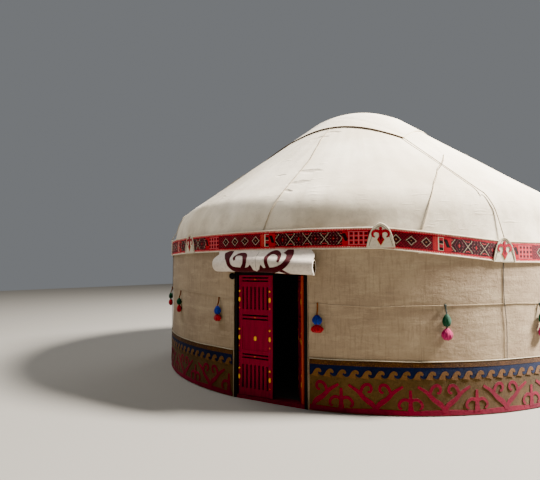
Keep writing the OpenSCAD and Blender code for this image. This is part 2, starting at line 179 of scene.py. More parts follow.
def lamp(name, place, target, power, size, colour):
    data = bpy.data.lights.new(name, "AREA")
    data.energy = power
    data.shape = "DISK"
    data.size = size
    data.color = colour
    obj = bpy.data.objects.new(name, data)
    bpy.context.scene.collection.objects.link(obj)
    obj.location = place
    obj.rotation_euler = (Vector(target) - Vector(place)).to_track_quat("-Z", "Y").to_euler()


lamp("key_lamp", (13.5, 4.0, 15.0), (0, 0, 1.8), 44000, 4.0, (1.0, 0.96, 0.90))
lamp("fill_lamp", (-7.0, -13.0, 6.0), (0, 0, 1.5), 130, 8.0, (1.0, 0.94, 0.86))
lamp("top_lamp", (-6.0, -3.5, 12.0), (0, 0, 2.5), 1100, 7.0, (1.0, 0.98, 0.95))
lamp("back_lamp", (-5.0, 13.0, 9.0), (0, 0, 2.0), 1300, 8.0, (0.93, 0.96, 1.0))
bpy.context.scene.view_settings.view_transform = "AgX"
bpy.context.scene.view_settings.look = "AgX - Punchy"
bpy.context.scene.view_settings.exposure = 0.5

world = bpy.data.worlds.new("studio")
bpy.context.scene.world = world
world.use_nodes = True
world.node_tree.nodes["Background"].inputs["Color"].default_value = (0.86, 0.90, 0.95, 1)
world.node_tree.nodes["Background"].inputs["Strength"].default_value = 0.25


# ---- Finishes ----

def shade(text):
    """A colour written as on a paint card, rrggbb."""
    parts = [int(text[i : i + 2], 16) / 255 for i in (0, 2, 4)]
    return (*[p / 12.92 if p <= 0.04045 else ((p + 0.055) / 1.055) ** 2.4 for p in parts], 1)


def worked(kind):
    return lambda self, *other: self.finish.sum(kind, self, *other)


class Term:
    """A number that the finish works out, which can be added, multiplied and compared."""

    def __init__(self, finish, socket):
        self.finish = finish
        self.socket = socket

    __add__, __sub__, __mul__ = worked("ADD"), worked("SUBTRACT"), worked("MULTIPLY")
    __truediv__, __lt__, __gt__ = worked("DIVIDE"), worked("LESS_THAN"), worked("GREATER_THAN")
    __abs__, fract, floor = worked("ABSOLUTE"), worked("FRACT"), worked("FLOOR")


class Finish:
    """A material that is put together from patterns on the object's own coordinates."""

    def __init__(self, name, rough, sheen=0.0):
        self.material = bpy.data.materials.new(name)
        self.material.use_nodes = True
        self.tree = self.material.node_tree
        self.tree.nodes.clear()
        self.shader = self.node("BsdfPrincipled", Roughness=rough, Sheen_Weight=sheen, Sheen_Roughness=0.6,
                                Specular_IOR_Level=0.2)
        self.node("OutputMaterial", Surface=self.shader.outputs[0])
        self.height = None

    def node(self, kind, **sockets):
        """A new node with its sockets filled; a low line in a socket's name stands for a space."""
        node = self.tree.nodes.new("ShaderNode" + kind)
        for name, value in sockets.items():
            self.put(node.inputs[name.replace("_", " ")], value)
        return node

    def put(self, socket, value):
        if isinstance(value, Term):
            value = value.socket
        if isinstance(value, bpy.types.NodeSocket):
            self.tree.links.new(value, socket)
        elif value is not None:
            socket.default_value = shade(value) if isinstance(value, str) else value

    def sum(self, kind, *values):
        node = self.node("Math")
        node.operation = kind
        for socket, value in zip(node.inputs, values):
            self.put(socket, value)
        return Term(self, node.outputs[0])

    def place(self, kind="Object"):
        return self.node("TexCoord").outputs[kind]

    def parts(self, vector):
        return [Term(self, part) for part in self.node("SeparateXYZ", Vector=vector).outputs]

    def joined(self, x, y):
        return self.node("CombineXYZ", X=x, Y=y).outputs[0]

    def stretched(self, x, y, z):
        return self.node("Mapping", Vector=self.place(), Scale=(x, y, z)).outputs[0]

    def round_wall(self):
        """Length round the wall and height, in metres."""
        x, y, z = self.parts(self.place())
        return self.sum("ARCTAN2", x, y * -1.0) * WALL_R, z

    def grain(self, scale, vector=None, detail=3.0, rough=0.55):
        node = self.node("TexNoise", Vector=vector or self.place(), Scale=scale, Detail=detail,
                         Roughness=rough)
        return Term(self, node.outputs[0])

    def between(self, value, low, high, a=0.0, b=1.0):
        """Runs from a to b as the value runs from low to high."""
        node = self.node("MapRange", Value=value, From_Min=low, From_Max=high, To_Min=a, To_Max=b)
        return Term(self, node.outputs[0])

    def mixed(self, share, a, b):
        node = self.node("Mix")
        node.data_type = "RGBA"
        for i, value in zip((0, 6, 7), (share, a, b)):
            self.put(node.inputs[i], value)
        return node.outputs[2]

    def laid(self, colour, over, pattern, low, high, share=1.0):
        """A second colour over the first, where a pattern runs from low to high."""
        return self.mixed(self.between(pattern, low, high, 0.0, share), colour, over)

    def colour(self, value):
        self.put(self.shader.inputs["Base Color"], value)

    def raised(self, value, metres, strength=1.0):
        """Bump from a pattern that is so many metres high. Calls build on each other."""
        bump = self.node("Bump", Distance=metres, Strength=strength, Height=value, Normal=self.height)
        self.height = bump.outputs[0]
        self.put(self.shader.inputs["Normal"], self.height)


# Creases that show on the roof canvas, dented and darkened with painted shade: azimuth and height of the
# middle, length and height of each
ROOF_CREASES = [(4.5, 2.817, 0.41, 0.09), (3.5, 2.626, 0.33, 0.08), (-3.6, 3.569, 0.33, 0.07),
                (3.0, 3.679, 0.30, 0.06), (2.1, 2.493, 0.16, 0.05), (-4.6, 2.784, 0.18, 0.05)]


def canvas(name, pale, dark, stain, creases=()):
    f = Finish(name, 0.92, 0.05)
    round_by, z = f.round_wall()
    colour = f.laid(pale, dark, f.grain(0.9, detail=6.0), 0.35, 0.68)
    streak = f.grain(1.0, f.joined(round_by * 6.0, z * 0.7), detail=5.0)
    colour = f.laid(colour, dark, streak, 0.52, 0.75, 0.55)
    low = f.between(z, 2.9, 1.9, 0.0, 0.75)
    dirt = f.between(f.grain(2.3, detail=7.0, rough=0.65), 0.42, 0.7)
    colour = f.mixed(low * dirt, colour, stain)
    colour = f.laid(colour, stain, f.grain(55.0, detail=2.0), 0.62, 0.74, 0.35)
    folds = None
    for turn, height, length, high in creases:
        r = RING_TOP[0] + (RING_TOP[1] - height) / tan(ROOF_SLOPE)
        aside = (round_by - math.radians(turn) * WALL_R) / (length / 2 * WALL_R / r)
        waved = z - height + (f.grain(4.0) - 0.5) * 0.12
        above = waved / (high / 2)
        fold = f.between(aside * aside + above * above, 1.0, 0.0)
        folds = fold if folds is None else folds + fold
    if folds is not None:
        # Painted shade: the creases are darkened towards a grey-brown, as well as dented by the bump below.
        colour = f.mixed(folds * 0.5, colour, "85796a")
        f.raised(folds * -1.0, 0.02, 0.7)
    f.colour(colour)
    dashes = f.grain(1.0, f.joined(round_by * 3.0, z * 26.0), detail=2.0)
    few = f.between(f.grain(1.1, detail=1.0), 0.5, 0.62)
    f.raised(f.between(dashes, 0.6, 0.72) * few, 0.006, 0.7)
    f.raised(f.grain(9.0, detail=4.0), 0.006, 0.5)
    f.raised(f.grain(260.0, detail=2.0), 0.0012, 0.6)
    return f.material


def felt(name, a, b, fleck, coarse=1.0):
    """Pressed wool: cloudy, flecked and hairy."""
    f = Finish(name, 0.95, 0.04)
    colour = f.laid(a, b, f.grain(2.2 * coarse, detail=7.0, rough=0.65), 0.34, 0.68)
    f.colour(f.laid(colour, fleck, f.grain(34.0 * coarse, detail=5.0, rough=0.7), 0.5, 0.72, 0.7))
    f.raised(f.grain(14.0 * coarse, detail=5.0), 0.008, 0.5)
    f.raised(f.grain(150.0 * coarse, detail=3.0, rough=0.7), 0.003, 0.8)
    return f.material


def wall_finish(name):
    """Weathered canvas: flat pale patches, upright dark strokes and a darker foot."""
    f = Finish(name, 0.95, 0.05)
    round_by, z = f.round_wall()
    colour = f.laid("a79377", "8a755e", f.grain(1.6, detail=8.0, rough=0.68), 0.34, 0.66)
    flat = f.grain(1.0, f.joined(round_by * 2.2, z * 11.0), detail=6.0, rough=0.7)
    colour = f.laid(colour, "b8a587", flat, 0.5, 0.7, 0.6)
    colour = f.laid(colour, "84705a", f.grain(26.0, detail=6.0, rough=0.75), 0.52, 0.72, 0.5)
    stroke = f.grain(1.0, f.joined(round_by * 44.0, z * 4.0))
    colour = f.laid(colour, "7d6a53", stroke, 0.5, 0.72, 0.55)
    f.colour(f.laid(colour, "8b765c", z, 0.75, 0.5, 0.45))
    f.raised(f.grain(1.0, f.joined(round_by * 5.0, z * 16.0), detail=5.0), 0.012, 0.55)
    f.raised(f.grain(30.0, detail=5.0, rough=0.7), 0.006, 0.7)
    f.raised(f.grain(190.0, detail=2.0, rough=0.7), 0.002, 0.8)
    return f.material


def wood_line(f):
    return f.grain(9.0, f.stretched(6.0, 6.0, 0.35), detail=5.0, rough=0.6)


def wood(name, a, b, worn, rough=0.6):
    """Painted or bare wood with its grain along z."""
    f = Finish(name, rough)
    line = wood_line(f)
    wear = f.between(f.grain(16.0, detail=6.0, rough=0.7), 0.6, 0.74, 0.0, 0.8)
    f.colour(f.mixed(wear, f.laid(a, b, line, 0.35, 0.7), worn))
    f.put(f.shader.inputs["Roughness"], f.between(wear, 0.0, 1.0, rough, min(rough + 0.25, 1.0)))
    f.raised(line, 0.002, 0.4)
    f.raised(f.grain(120.0, detail=2.0), 0.0006, 0.4)
    return f.material


def yarn(name, a, b):
    f = Finish(name, 0.9, 0.08)
    strands = f.grain(120.0, f.stretched(1.0, 1.0, 0.12))
    f.colour(f.laid(a, b, strands, 0.35, 0.65))
    f.raised(strands, 0.004, 0.9)
    return f.material


def twisted(name, a, b, turn=90.0):
    """A laid rope: slanting strands along its length, on its own unrolled map."""
    f = Finish(name, 0.88, 0.2)
    along, across, _ = f.parts(f.place("UV"))
    strand = abs((along * turn + across * 3.0).fract() - 0.5)
    colour = f.laid(a, b, strand, 0.1, 0.5)
    f.colour(f.laid(colour, b, f.grain(22.0), 0.5, 0.75, 0.5))
    f.raised(strand, 0.004, 0.8)
    f.raised(f.grain(240.0), 0.001, 0.6)
    return f.material


# The woven band: every pattern is counted out in stitches, along and across the strip
STITCH = 0.0058
FIELD_HALF, TEETH_FROM = 0.0715, 0.074
RED, DARK, WHITE = "ac041c", "12060a", "d8c6ac"
# The band's sections, each with its end and the place its pattern is counted from, in degrees
BAND_LAYOUT = [
    ("diamonds", 11.1, 0.22), ("plain", 12.1, 0.0), ("stripes", 13.1, 12.1), ("block", 14.5, 13.1),
    ("crosses", 27.9, 16.1), ("block", 29.2, 27.9), ("grid", 33.45, 29.2),
]
BAND_KINDS = ("plain", "diamonds", "stripes", "block", "crosses", "grid")
DEGREE_OF_BAND = math.radians(1) * BAND_R


def off_middle(value, pitch):
    """How far a value is from the middle of its repeat, as a share of the repeat."""
    return abs((value / pitch).fract() - 0.5)


def woven(name, kind):
    f = Finish(name, 0.9, 0.03)
    along, across, _ = f.parts(f.place("UV"))
    column = (along / STITCH).floor()
    row = (across / STITCH).floor()
    a = (column + 0.5) * STITCH
    v = (row + 0.5) * STITCH - BAND_W / 2
    up = abs(v)
    odd = ((column + row) * 0.5).fract() > 0.25
    third = (column * 0.3333).fract() < 0.34
    if kind == "diamonds":
        pitch, fret, ring, heart, dot = 0.159, 0.034, 0.050, 0.036, 0.010
        d = off_middle(a, pitch) * pitch + up * 1.05
        inner = f.mixed(odd * 0.7, "1a070c", "4e0b1a")
        step = off_middle(a, fret) * fret + off_middle(up, fret) * fret
        inner = f.mixed((abs(step - fret / 2) < 0.003) * (d > 0.062), inner, "8c1a2c")
        inner = f.mixed(abs(d - ring) < 0.0029, inner, "ccb99e")
        inner = f.mixed(d < heart, inner, f.mixed(odd * 0.6, DARK, "451820"))
        inner = f.mixed(d < dot, inner, "8c5a3c")
    elif kind == "crosses":
        pitch, reach, ring = 0.1965, 0.052, 0.098
        x = off_middle(a, pitch) * pitch
        away = abs(x - ring)
        inner = f.mixed(odd * 0.55, DARK, "480a18")
        inner = f.mixed(abs(away - reach + up * 0.62) < 0.003, inner, "6c2a34")
        inner = f.mixed((abs(x - up * 0.8) < 0.0028) * (x < reach), inner, "c0ab90")
        inner = f.mixed((abs(up - 0.050 - x * 0.3) < 0.0045) * (x < 0.026), inner, "b23238")
        plus = (away < 0.004) * (up < 0.02) + (up < 0.004) * (away < 0.017)
        inner = f.mixed(plus, inner, RED)
        dots = ((column * 0.1667).fract() < 0.16) * ((row * 0.1667).fract() < 0.16) * (x > 0.03)
        inner = f.mixed(dots, inner, "9a7f6c")
    elif kind == "grid":
        row_check, column_check = off_middle(v + FIELD_HALF, 0.0477), off_middle(a, 0.052)
        inner = f.mixed(odd * 0.5, RED, "9a1126")
        inner = f.mixed((row_check > 0.40) + (column_check > 0.42), inner, "c2545a")
        square = (row_check < 0.26) * (column_check < 0.26)
        inner = f.mixed(square, inner, f.mixed(odd * 0.6, DARK, "5a0c1c"))
        inner = f.mixed(along > 3.5 * DEGREE_OF_BAND, inner, f.mixed(odd, "2a070e", "7c1024"))
    elif kind == "stripes":
        part = ((v + FIELD_HALF) / FIELD_HALF).fract()
        inner = f.mixed(part < 0.5, "9c1428", DARK)
        inner = f.mixed(abs(part - 0.5) > 0.45, inner, "b09c84")
        inner = f.mixed(abs(a - 0.029) > 0.0225, inner, WHITE)
    elif kind == "block":
        lean = abs(a - 0.040 + v * 0.4)
        inner = f.mixed(odd * 0.25, RED, "8a0c22")
        inner = f.mixed((lean < 0.021) * (v > -0.034) * (v < 0.055), inner, "0c0507")
    else:
        inner = f.mixed(third * odd * 0.6, RED, "cf7f6c")
    edge = f.laid("b80c2a", "900822", f.grain(160.0, detail=2.0), 0.45, 0.62, 0.5)
    colour = f.mixed(up > FIELD_HALF, inner, edge)
    toothed = (up > TEETH_FROM) * ((up - TEETH_FROM) < off_middle(a, 0.018) * 0.018)
    colour = f.mixed(toothed * 0.8, colour, DARK)
    colour = f.mixed(third * (abs(up - 0.096) < 0.0035) * 0.7, colour, WHITE)
    f.colour(f.laid(colour, "5b1020", f.grain(7.0, detail=4.0), 0.45, 0.75, 0.3))
    f.raised((off_middle(along, STITCH) + off_middle(across, STITCH)) * -1.0, 0.0014, 0.7)
    return f.material


def door_leaf_paint(name, a, b, worn, turned=False):
    """Boards under a near-black top, which is painted shade under the lintel; on a leaf that stands open, the
    strip along its turning edge is painted orange-brown as sunlit.
    """
    f = Finish(name, 0.5)
    x, y, z = f.parts(f.place())
    line = wood_line(f)
    wear = f.grain(16.0, detail=6.0, rough=0.7)
    colour = f.laid(f.laid(a, b, line, 0.35, 0.7), worn, wear, 0.62, 0.76, 0.6)
    # Painted sunlight: on the leaf that stands open, a strip 6 cm round its turning axis is painted
    # orange-brown, as where the sun grazes its edge.
    if turned:
        off_x, off_y = x - PIN_X, y - LEAF_Y
        far = off_x * off_x + off_y * off_y
        colour = f.mixed(far < 0.06**2, colour, f.laid("9c3a22", "841c1c", line, 0.3, 0.7))
    # Painted shade: above 1.462 m the leaf is painted near-black, standing in for the black lintel and the
    # shadow under it.
    f.colour(f.mixed(z > 1.462, colour, "070505"))
    f.raised(line, 0.002, 0.4)
    return f.material


# Every paint: how it is made, its name, its colours and the rest that its maker asks for
CARD = [
    (canvas, "roof_canvas", "e8ddc9", "c8baa2", "948570", ROOF_CREASES),
    (canvas, "crown_cover_felt", "e8dfce", "cdbfa8", "9d8d76"),
    (wall_finish, "wall_canvas"),
    (felt, "white_felt", "dfd3c6", "cabdae", "ab9d8c"),
    (felt, "tab_felt", "ddd2bd", "c9bca4", "ab9c84", 1.6),
    (felt, "cream_piping", "e0d6c0", "c2b59b", "988a72", 2.0),
    (felt, "maroon_felt", "4a0713", "380610", "200408", 1.5),
    (felt, "crimson_felt", "7e0329", "5e031f", "3a0314", 1.5),
    (felt, "blue_felt", "09183a", "060f28", "030818", 1.5),
    (felt, "orange_cord", "a8622a", "7c441e", "4f2c14", 2.0),
    (felt, "brown_felt", "5a4428", "44331b", "2a1f12", 1.3),
    (felt, "tan_felt", "6e4c2a", "583b20", "3c2914", 1.6),
    (felt, "olive_line", "5c5638", "45402a", "2e2a1c", 2.0),
    (felt, "wall_line", "ad9a7e", "93806a", "7c6a54", 2.0),
    (felt, "brown_strip", "4a2e18", "2c1b0f", "7a5428", 2.2),
    (felt, "skirt_hem", "c9bca6", "9a8b74", "6a5c4a", 1.5),
    (felt, "dark_hem", "4a3a2c", "33271d", "695644", 1.5),
    # A dark brown hem colour: painted shade under the crown cover's front edge.
    (felt, "cover_line", "5e4b39", "45362a", "77624d", 1.5),
    (felt, "roof_seam", "b3a48b", "9c8d75", "82745e", 2.0),
    (felt, "tab_red_felt", "ac0e2a", "860a22", "560818", 2.0),
    (felt, "tab_gold_cord", "cf9c3a", "a87826", "7a5419", 2.0),
    (twisted, "roof_rope", "c9bca5", "8d8068"),
    (twisted, "dark_rope", "4a443e", "2a2623", 110.0),
    (wood, "red_wood", "8c2a20", "6b1c18", "a4573d"),
    (wood, "crown_wood", "8c5a34", "6a3f24", "a87a4e"),
    (wood, "frame_paint", "080606", "050404", "1c1613"),
    # Both door paints carry a near-black top that is painted shade under the lintel.
    (door_leaf_paint, "door_paint", "86022a", "68021f", "981c38"),
    # The right leaf's paint also carries painted sunlight, an orange-brown strip along its turning edge.
    (door_leaf_paint, "right_door_paint", "86022a", "68021f", "981c38", True),
    (wood, "door_recess", "2a0509", "160306", "3c0a10", 0.8),
    (wood, "door_gold_paint", "ffc400", "eca400", "ffd850", 0.45),
    (wood, "door_orange_paint", "c8602a", "a84420", "e09050", 0.5),
    (wood, "door_violet_paint", "5a1048", "430c3a", "7a2a60", 0.5),
    (wood, "threshold_paint", "7c0424", "5c041a", "8a3034", 0.7),
    (yarn, "green_yarn", "0e4a30", "06281b"),
    (yarn, "blue_yarn", "0f2f94", "081650"),
    (yarn, "crimson_yarn", "b00a24", "640614"),
    (yarn, "pink_yarn", "b81e62", "701038"),
    (yarn, "cord_yarn", "7a3e1a", "4a220e"),
    (yarn, "dark_cord_yarn", "33403a", "161c1a"),
    *[(woven, "band_" + kind, kind) for kind in BAND_KINDS],
]
PAINTS = {name: make(name, *tones) for make, name, *tones in CARD}


# ---- Making pieces ----

def grid(name, across, up, place, width=1.0, height=1.0):
    """A sheet of squares, laid out by place(u, v) with u and v from 0 to 1, mapped in metres."""
    bpy.ops.object.select_all(action="DESELECT")
    bpy.ops.mesh.primitive_grid_add(x_subdivisions=across, y_subdivisions=up, size=2)
    obj = bpy.context.object
    obj.name = obj.data.name = name
    for vertex in obj.data.vertices:
        vertex.co = place((vertex.co.x + 1) / 2, (vertex.co.y + 1) / 2)
    for corner in obj.data.uv_layers.active.data:
        corner.uv = (corner.uv[0] * width, corner.uv[1] * height)
    return obj


def only(obj):
    bpy.ops.object.select_all(action="DESELECT")
    bpy.context.view_layer.objects.active = obj
    obj.select_set(True)


def modified(obj, kind, **values):
    only(obj)
    bpy.ops.object.modifier_add(type=kind)
    modifier = obj.modifiers[-1]
    for name, value in values.items():
        setattr(modifier, name, value)
    bpy.ops.object.modifier_apply(modifier=modifier.name)
    return obj


def thick(obj, thickness, offset=-1.0):
    """Gives a sheet its thickness, inwards from its face."""
    return modified(obj, "SOLIDIFY", thickness=thickness, offset=offset, use_even_offset=True)


def smooth(obj, angle=40):
    only(obj)
    bpy.ops.object.shade_smooth_by_angle(angle=math.radians(angle))
    return obj


def joined(name, pieces):
    """Several pieces made one object."""
    bpy.ops.object.select_all(action="DESELECT")
    for piece in pieces:
        piece.select_set(True)
    bpy.context.view_layer.objects.active = pieces[0]
    if len(pieces) > 1:
        bpy.ops.object.join()
    obj = bpy.context.object
    obj.name = obj.data.name = name
    return obj


def coated(obj, *paints):
    obj.data.materials.clear()
    for paint in paints:
        obj.data.materials.append(PAINTS[paint])
    return obj


def sealed(obj, merge=0.0, fill=False):
    """Merges the points that meet, fills the holes and turns all faces outwards."""
    only(obj)
    bpy.ops.object.mode_set(mode="EDIT")
    bpy.ops.mesh.select_all(action="SELECT")
    if merge:
        bpy.ops.mesh.remove_doubles(threshold=merge)
    if fill:
        bpy.ops.mesh.fill_holes(sides=0)
        bpy.ops.mesh.select_all(action="SELECT")
    bpy.ops.mesh.normals_make_consistent(inside=False)
    bpy.ops.object.mode_set(mode="OBJECT")
    return obj


def shown(obj, body, slot, *nodes):
    """The finished piece rides on its body and stands for the frame's nodes."""
    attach(obj, body)
    if nodes:
        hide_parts(*nodes)
    return obj


def wrapped(obj, azimuth, r):
    """Bends a piece drawn flat, x to the right and y up, round the wall at a radius."""
    for vertex in obj.data.vertices:
        x, y, out = vertex.co
        vertex.co = at(azimuth + math.degrees(x / r), r + out, y)
    return obj


def copied(obj):
    twin = obj.copy()
    twin.data = obj.data.copy()
    bpy.context.scene.collection.objects.link(twin)
    return twin


def curve_points(points, count, fine_steps=8):
    """Points at even steps on a smooth line through the given ones."""
    before, after = [tuple(2 * a - b for a, b in zip(*pair)) for pair in (points[:2], points[:-3:-1])]
    chain = [before, *[tuple(p) for p in points], after]
    fine = []
    for i in range(1, len(chain) - 2):
        for k in range(fine_steps):
            t = k / fine_steps
            fine.append(tuple(
                0.5 * (2 * b + (c - a) * t + (2 * a - 5 * b + 4 * c - d) * t**2
                       + (3 * b - a - 3 * c + d) * t**3)
                for a, b, c, d in zip(*chain[i - 1 : i + 3])))
    fine.append(tuple(points[-1]))
    line = Line(fine)
    return [line.point(k / (count - 1)) for k in range(count)]


def ribbon(points, widths, count=16, height=0.004, lift=0.0, rows=1):
    """A flat strip of felt along a smooth line, whose width changes on the way."""
    line = curve_points(points, count)
    stops = list(enumerate(widths))
    spread = [level(stops, k / (count - 1) * stops[-1][0]) for k in range(count)]
    sides = []
    for k in range(count):
        a, b = line[max(k - 1, 0)], line[min(k + 1, count - 1)]
        run = math.dist(a, b) or 1.0
        sides.append(((a[1] - b[1]) / run, (b[0] - a[0]) / run))

    def place(u, v):
        k = round(u * (count - 1))
        off = (v - 0.5) * spread[k]
        return Vector((line[k][0] + sides[k][0] * off, line[k][1] + sides[k][1] * off, lift))

    return thick(grid("strip", count - 1, rows, place), height, 1.0)


def plate(outline, height, lift=0.0):
    """A flat piece cut to an outline."""
    bpy.ops.object.select_all(action="DESELECT")
    bpy.ops.mesh.primitive_circle_add(vertices=len(outline), radius=1, fill_type="NGON")
    obj = bpy.context.object
    for vertex, (x, y) in zip(obj.data.vertices, outline):
        vertex.co = (x, y, lift)
    sealed(obj)
    if obj.data.polygons[0].normal.z < 0:
        obj.data.flip_normals()
    return thick(obj, height, 1.0)


def tube(name, points, radius, sides=8, closed=False, radii=None):
    """A round cord along points, mapped along its length."""
    count = len(points)
    frames = []
    up = Vector((0, 0, 1))
    for k, point in enumerate(points):
        a = points[k - 1] if closed or k else point
        b = points[(k + 1) % count] if closed or k < count - 1 else point
        ahead = (Vector(b) - Vector(a)).normalized()
        side = ahead.cross(up)
        if side.length < 1e-3:
            side = ahead.cross(Vector((1, 0, 0)))
        side.normalize()
        up_here = side.cross(ahead).normalized()
        frames.append((Vector(point), side, up_here))
        up = up_here
    length = sum(math.dist(a, b) for a, b in zip(points, points[1:]))
    spans = count if closed else count - 1

    def place(u, v):
        k = round(u * spans) % count
        turn = 2 * math.pi * (round(v * sides) % sides) / sides
        middle, side, up_here = frames[k]
        r = radii[k] if radii else radius
        return middle + (side * math.cos(turn) + up_here * math.sin(turn)) * r

    obj = grid(name, spans, sides, place, length, 2 * math.pi * radius)
    return smooth(sealed(obj, 1e-6, not closed), 50)


def ruffle(point, scale, seed=0.0):
    """Smooth unevenness between -1 and 1."""
    return noise.noise(Vector(point) * scale + Vector((seed, 2 * seed, 3 * seed)))


# The floor under the tent, wide and pale
FLOOR_W = 60
floor = grid("floor", 1, 1, lambda u, v: Vector((FLOOR_W * (u - 0.5), FLOOR_W * (v - 0.5), 0)))
floor_paint = Finish("floor", 0.9)
floor_paint.colour("85817a")
PAINTS["floor"] = floor_paint.material
coated(floor, "floor")


# ---- Roof ----

POLE_SAG, ROOF_RIPPLE, RIPPLE_SCALE = 0.004, 0.007, 1.3


def pole_sag(azimuth, share):
    """The felt sinks a little between two poles, most on the long slope."""
    step = ((azimuth - HALF_DOOR) / CELL_TURN) % 1.0
    return -POLE_SAG * math.sin(math.pi * step) ** 2 * min(1.0, 3 * share) * (1.15 - share)


def on_roof(line, azimuth, share, panel, lift=0.0):
    """A point on the felt, which sinks between the poles and is a little uneven."""
    r, z = line.point(share)
    out = line.out(share)
    ripple = ROOF_RIPPLE * ruffle(at(azimuth, r, z), RIPPLE_SCALE, panel) * min(1.0, 5 * share)
    lift += pole_sag(azimuth, share) + ripple
    return at(azimuth, r + lift * out[0], z + lift * out[1])


# Where the sewn lines run: share of the way up the roof and azimuth
PANEL_EDGE = [(0, 30.0), (0.049, 30.35), (0.086, 31.2), (0.144, 32.5), (0.248, 35.6), (0.368, 40.5),
              (0.521, 50.5), (0.65, 56.0), (1.0, 60.0)]
SIDE_SEAM = [(0.05, -1.5), (0.131, -0.07), (0.19, 1.26), (0.507, 1.87), (0.659, 0.11), (0.722, -1.12),
             (0.985, -3.0)]
LAP, EDGE_FROM, EDGE_RISE = 0.6, 0.985, 0.005

for k in range(4):
    line = roof_line(EAVE_Z - (EAVE_SAG if k == 0 else 0))

    def panel_place(u, v):
        azimuth = level(PANEL_EDGE, v) - LAP + 90 * k + (90 + LAP) * u
        return on_roof(line, azimuth, v, k, EDGE_RISE * max(u - EDGE_FROM, 0.0) / (1 - EDGE_FROM))

    panel = grid(f"roof_canvas_{k + 1}", 120, 96, panel_place, math.radians(90) * BAND_R, line.length)
    coated(smooth(thick(panel, FELT)), "roof_canvas")
    shown(panel, "tent", "roof_canvas", f"roof_felt_{k + 1}")
    radii = [line.point(i / 100)[0] for i in range(101)]


def roof_strip(stops, turned, width, rise, over):
    """A sewn seam that runs up the roof."""
    line = roof_line(EAVE_Z)
    low, high = stops[0][0], stops[-1][0]

    def place(u, v):
        share = low + (high - low) * u
        turn = level(stops, share) + turned + math.degrees((v - 0.5) * width / line.point(share)[0])
        return on_roof(line, turn, share, (turned / 90 - 1) % 4, over + rise * math.cos((v - 0.5) * math.pi))

    return coated(smooth(thick(grid("seam", 90, 2, place, line.length, width), 0.004)), "roof_seam")


seams = [roof_strip(SIDE_SEAM, 90 * k, 0.008, 0.002, 0.0035) for k in range(4)]
edge_line = [(share, turn - 0.1) for share, turn in PANEL_EDGE[1:7]]
seams += [roof_strip(edge_line, 90 * k, 0.007, 0.001, 0.0085) for k in range(4)]
shown(joined("roof_seams", seams), "tent", "roof_canvas")


# ---- Crown cover ----

COVER_RIPPLE, CREASE_HALF, CREASE_DEEP = 0.004, 0.03, 0.008
HEM_R = 0.009


def cover_place(u, v):
    x = (2 * u - 1) * COVER_HALF
    y = (2 * v - 1) * COVER_HALF
    turn = COVER_TURN - 45
    px, py = x * cos(turn) - y * sin(turn), x * sin(turn) + y * cos(turn)
    lift = COVER_RIPPLE * (1 + ruffle((px, py, 0.0), 2.2, 5))
    creased = abs(x * 0.2 + (y + COVER_HALF * 0.72)) < CREASE_HALF
    return Vector((px, py, cover_z(math.hypot(px, py)) + lift - (CREASE_DEEP if creased else 0.0)))


cover = grid("cover_felt", 72, 72, cover_place, 2 * COVER_HALF, 2 * COVER_HALF)
coated(smooth(thick(cover, FELT)), "crown_cover_felt")
shown(cover, "tent", "roof_canvas", "crown_cover")


def cover_hem(sides, paint, steps=40):
    """A hem under the cover's edge, along some of its four sides."""
    points = []
    for side in sides:
        for k in range(steps + (side == sides[-1])):
            s = k / steps
            u, v = [(s, 0), (1, s), (1 - s, 1), (0, 1 - s)][side]
            points.append(cover_place(u, v) - Vector((0, 0, COVER_RIPPLE)))
    return coated(tube("cover_hem", points, HEM_R), paint)


# Painted shade: the cover's front hem is dark brown for the shadow under its edge; the other three sides keep
# the cream hem colour.
hems = [cover_hem([0], "cover_line"), cover_hem([1, 2, 3], "cream_piping")]
shown(joined("cover_hem", hems), "tent", "roof_canvas")


# ---- Wall felts ----

WALL_SEAM_Z = 1.143
# The heights of the seam round the wall, by azimuth
SEAM_HEIGHTS = [(-75, WALL_SEAM_Z), (-60, 1.2), (-47, 1.25), (-30.5, 1.241), (-21, 1.222), (-14, 1.19),
                (8.7, 1.158), (12, 1.152), (20.2, 1.132), (30.4, 1.147), (37.9, 1.150), (49, 1.159),
                (55.5, 1.149), (75, WALL_SEAM_Z)]
SEAM_W, SEAM_END = 0.009, 0.2
FELT_COUNT, BESIDE_DOOR = 6, 0.14
FELT_TURN = WALL_TURN / FELT_COUNT
WALL_RIPPLE, DIMPLE, FELT_IN, FELT_LAP = 0.004, 0.0025, 0.003, 0.004


def seam_height(azimuth):
    return level(SEAM_HEIGHTS, (azimuth + 180) % 360 - 180)


def wall_panel(i):
    start = HALF_DOOR + i * FELT_TURN + (BESIDE_DOOR if i == 0 else 0)
    end = HALF_DOOR + (i + 1) * FELT_TURN - (BESIDE_DOOR if i == FELT_COUNT - 1 else 0)
    length = math.radians(end - start) * WALL_R

    def place(u, v):
        azimuth = start + (end - start) * u
        z = WALL_H * v
        point = at(azimuth, WALL_R, z)
        lift = WALL_RIPPLE * ruffle(point, 1.7, i) + DIMPLE * ruffle(point, 6.0, 3) - FELT_IN
        return at(azimuth, WALL_R + lift + (FELT_LAP if z > seam_height(azimuth) else 0.0), z)

    panel = grid(f"wall_canvas_{i + 1}", 90, 54, place, length, WALL_H)
    coated(smooth(thick(panel, FELT * 0.9)), "wall_canvas")
    shown(panel, "tent", "wall_canvas", f"wall_felt_{i + 1}")


for i in range(FELT_COUNT):
    wall_panel(i)


def wall_seam_place(u, v):
    azimuth = HALF_DOOR + SEAM_END + (WALL_TURN - 2 * SEAM_END) * u
    z = seam_height(azimuth) + 0.004 * ruffle((azimuth * 0.12, 0.0, 0.0), 1.0, 2.0) + (v - 0.5) * SEAM_W
    return at(azimuth, WALL_R + 0.0035 + 0.002 * math.sin(math.pi * v), z)


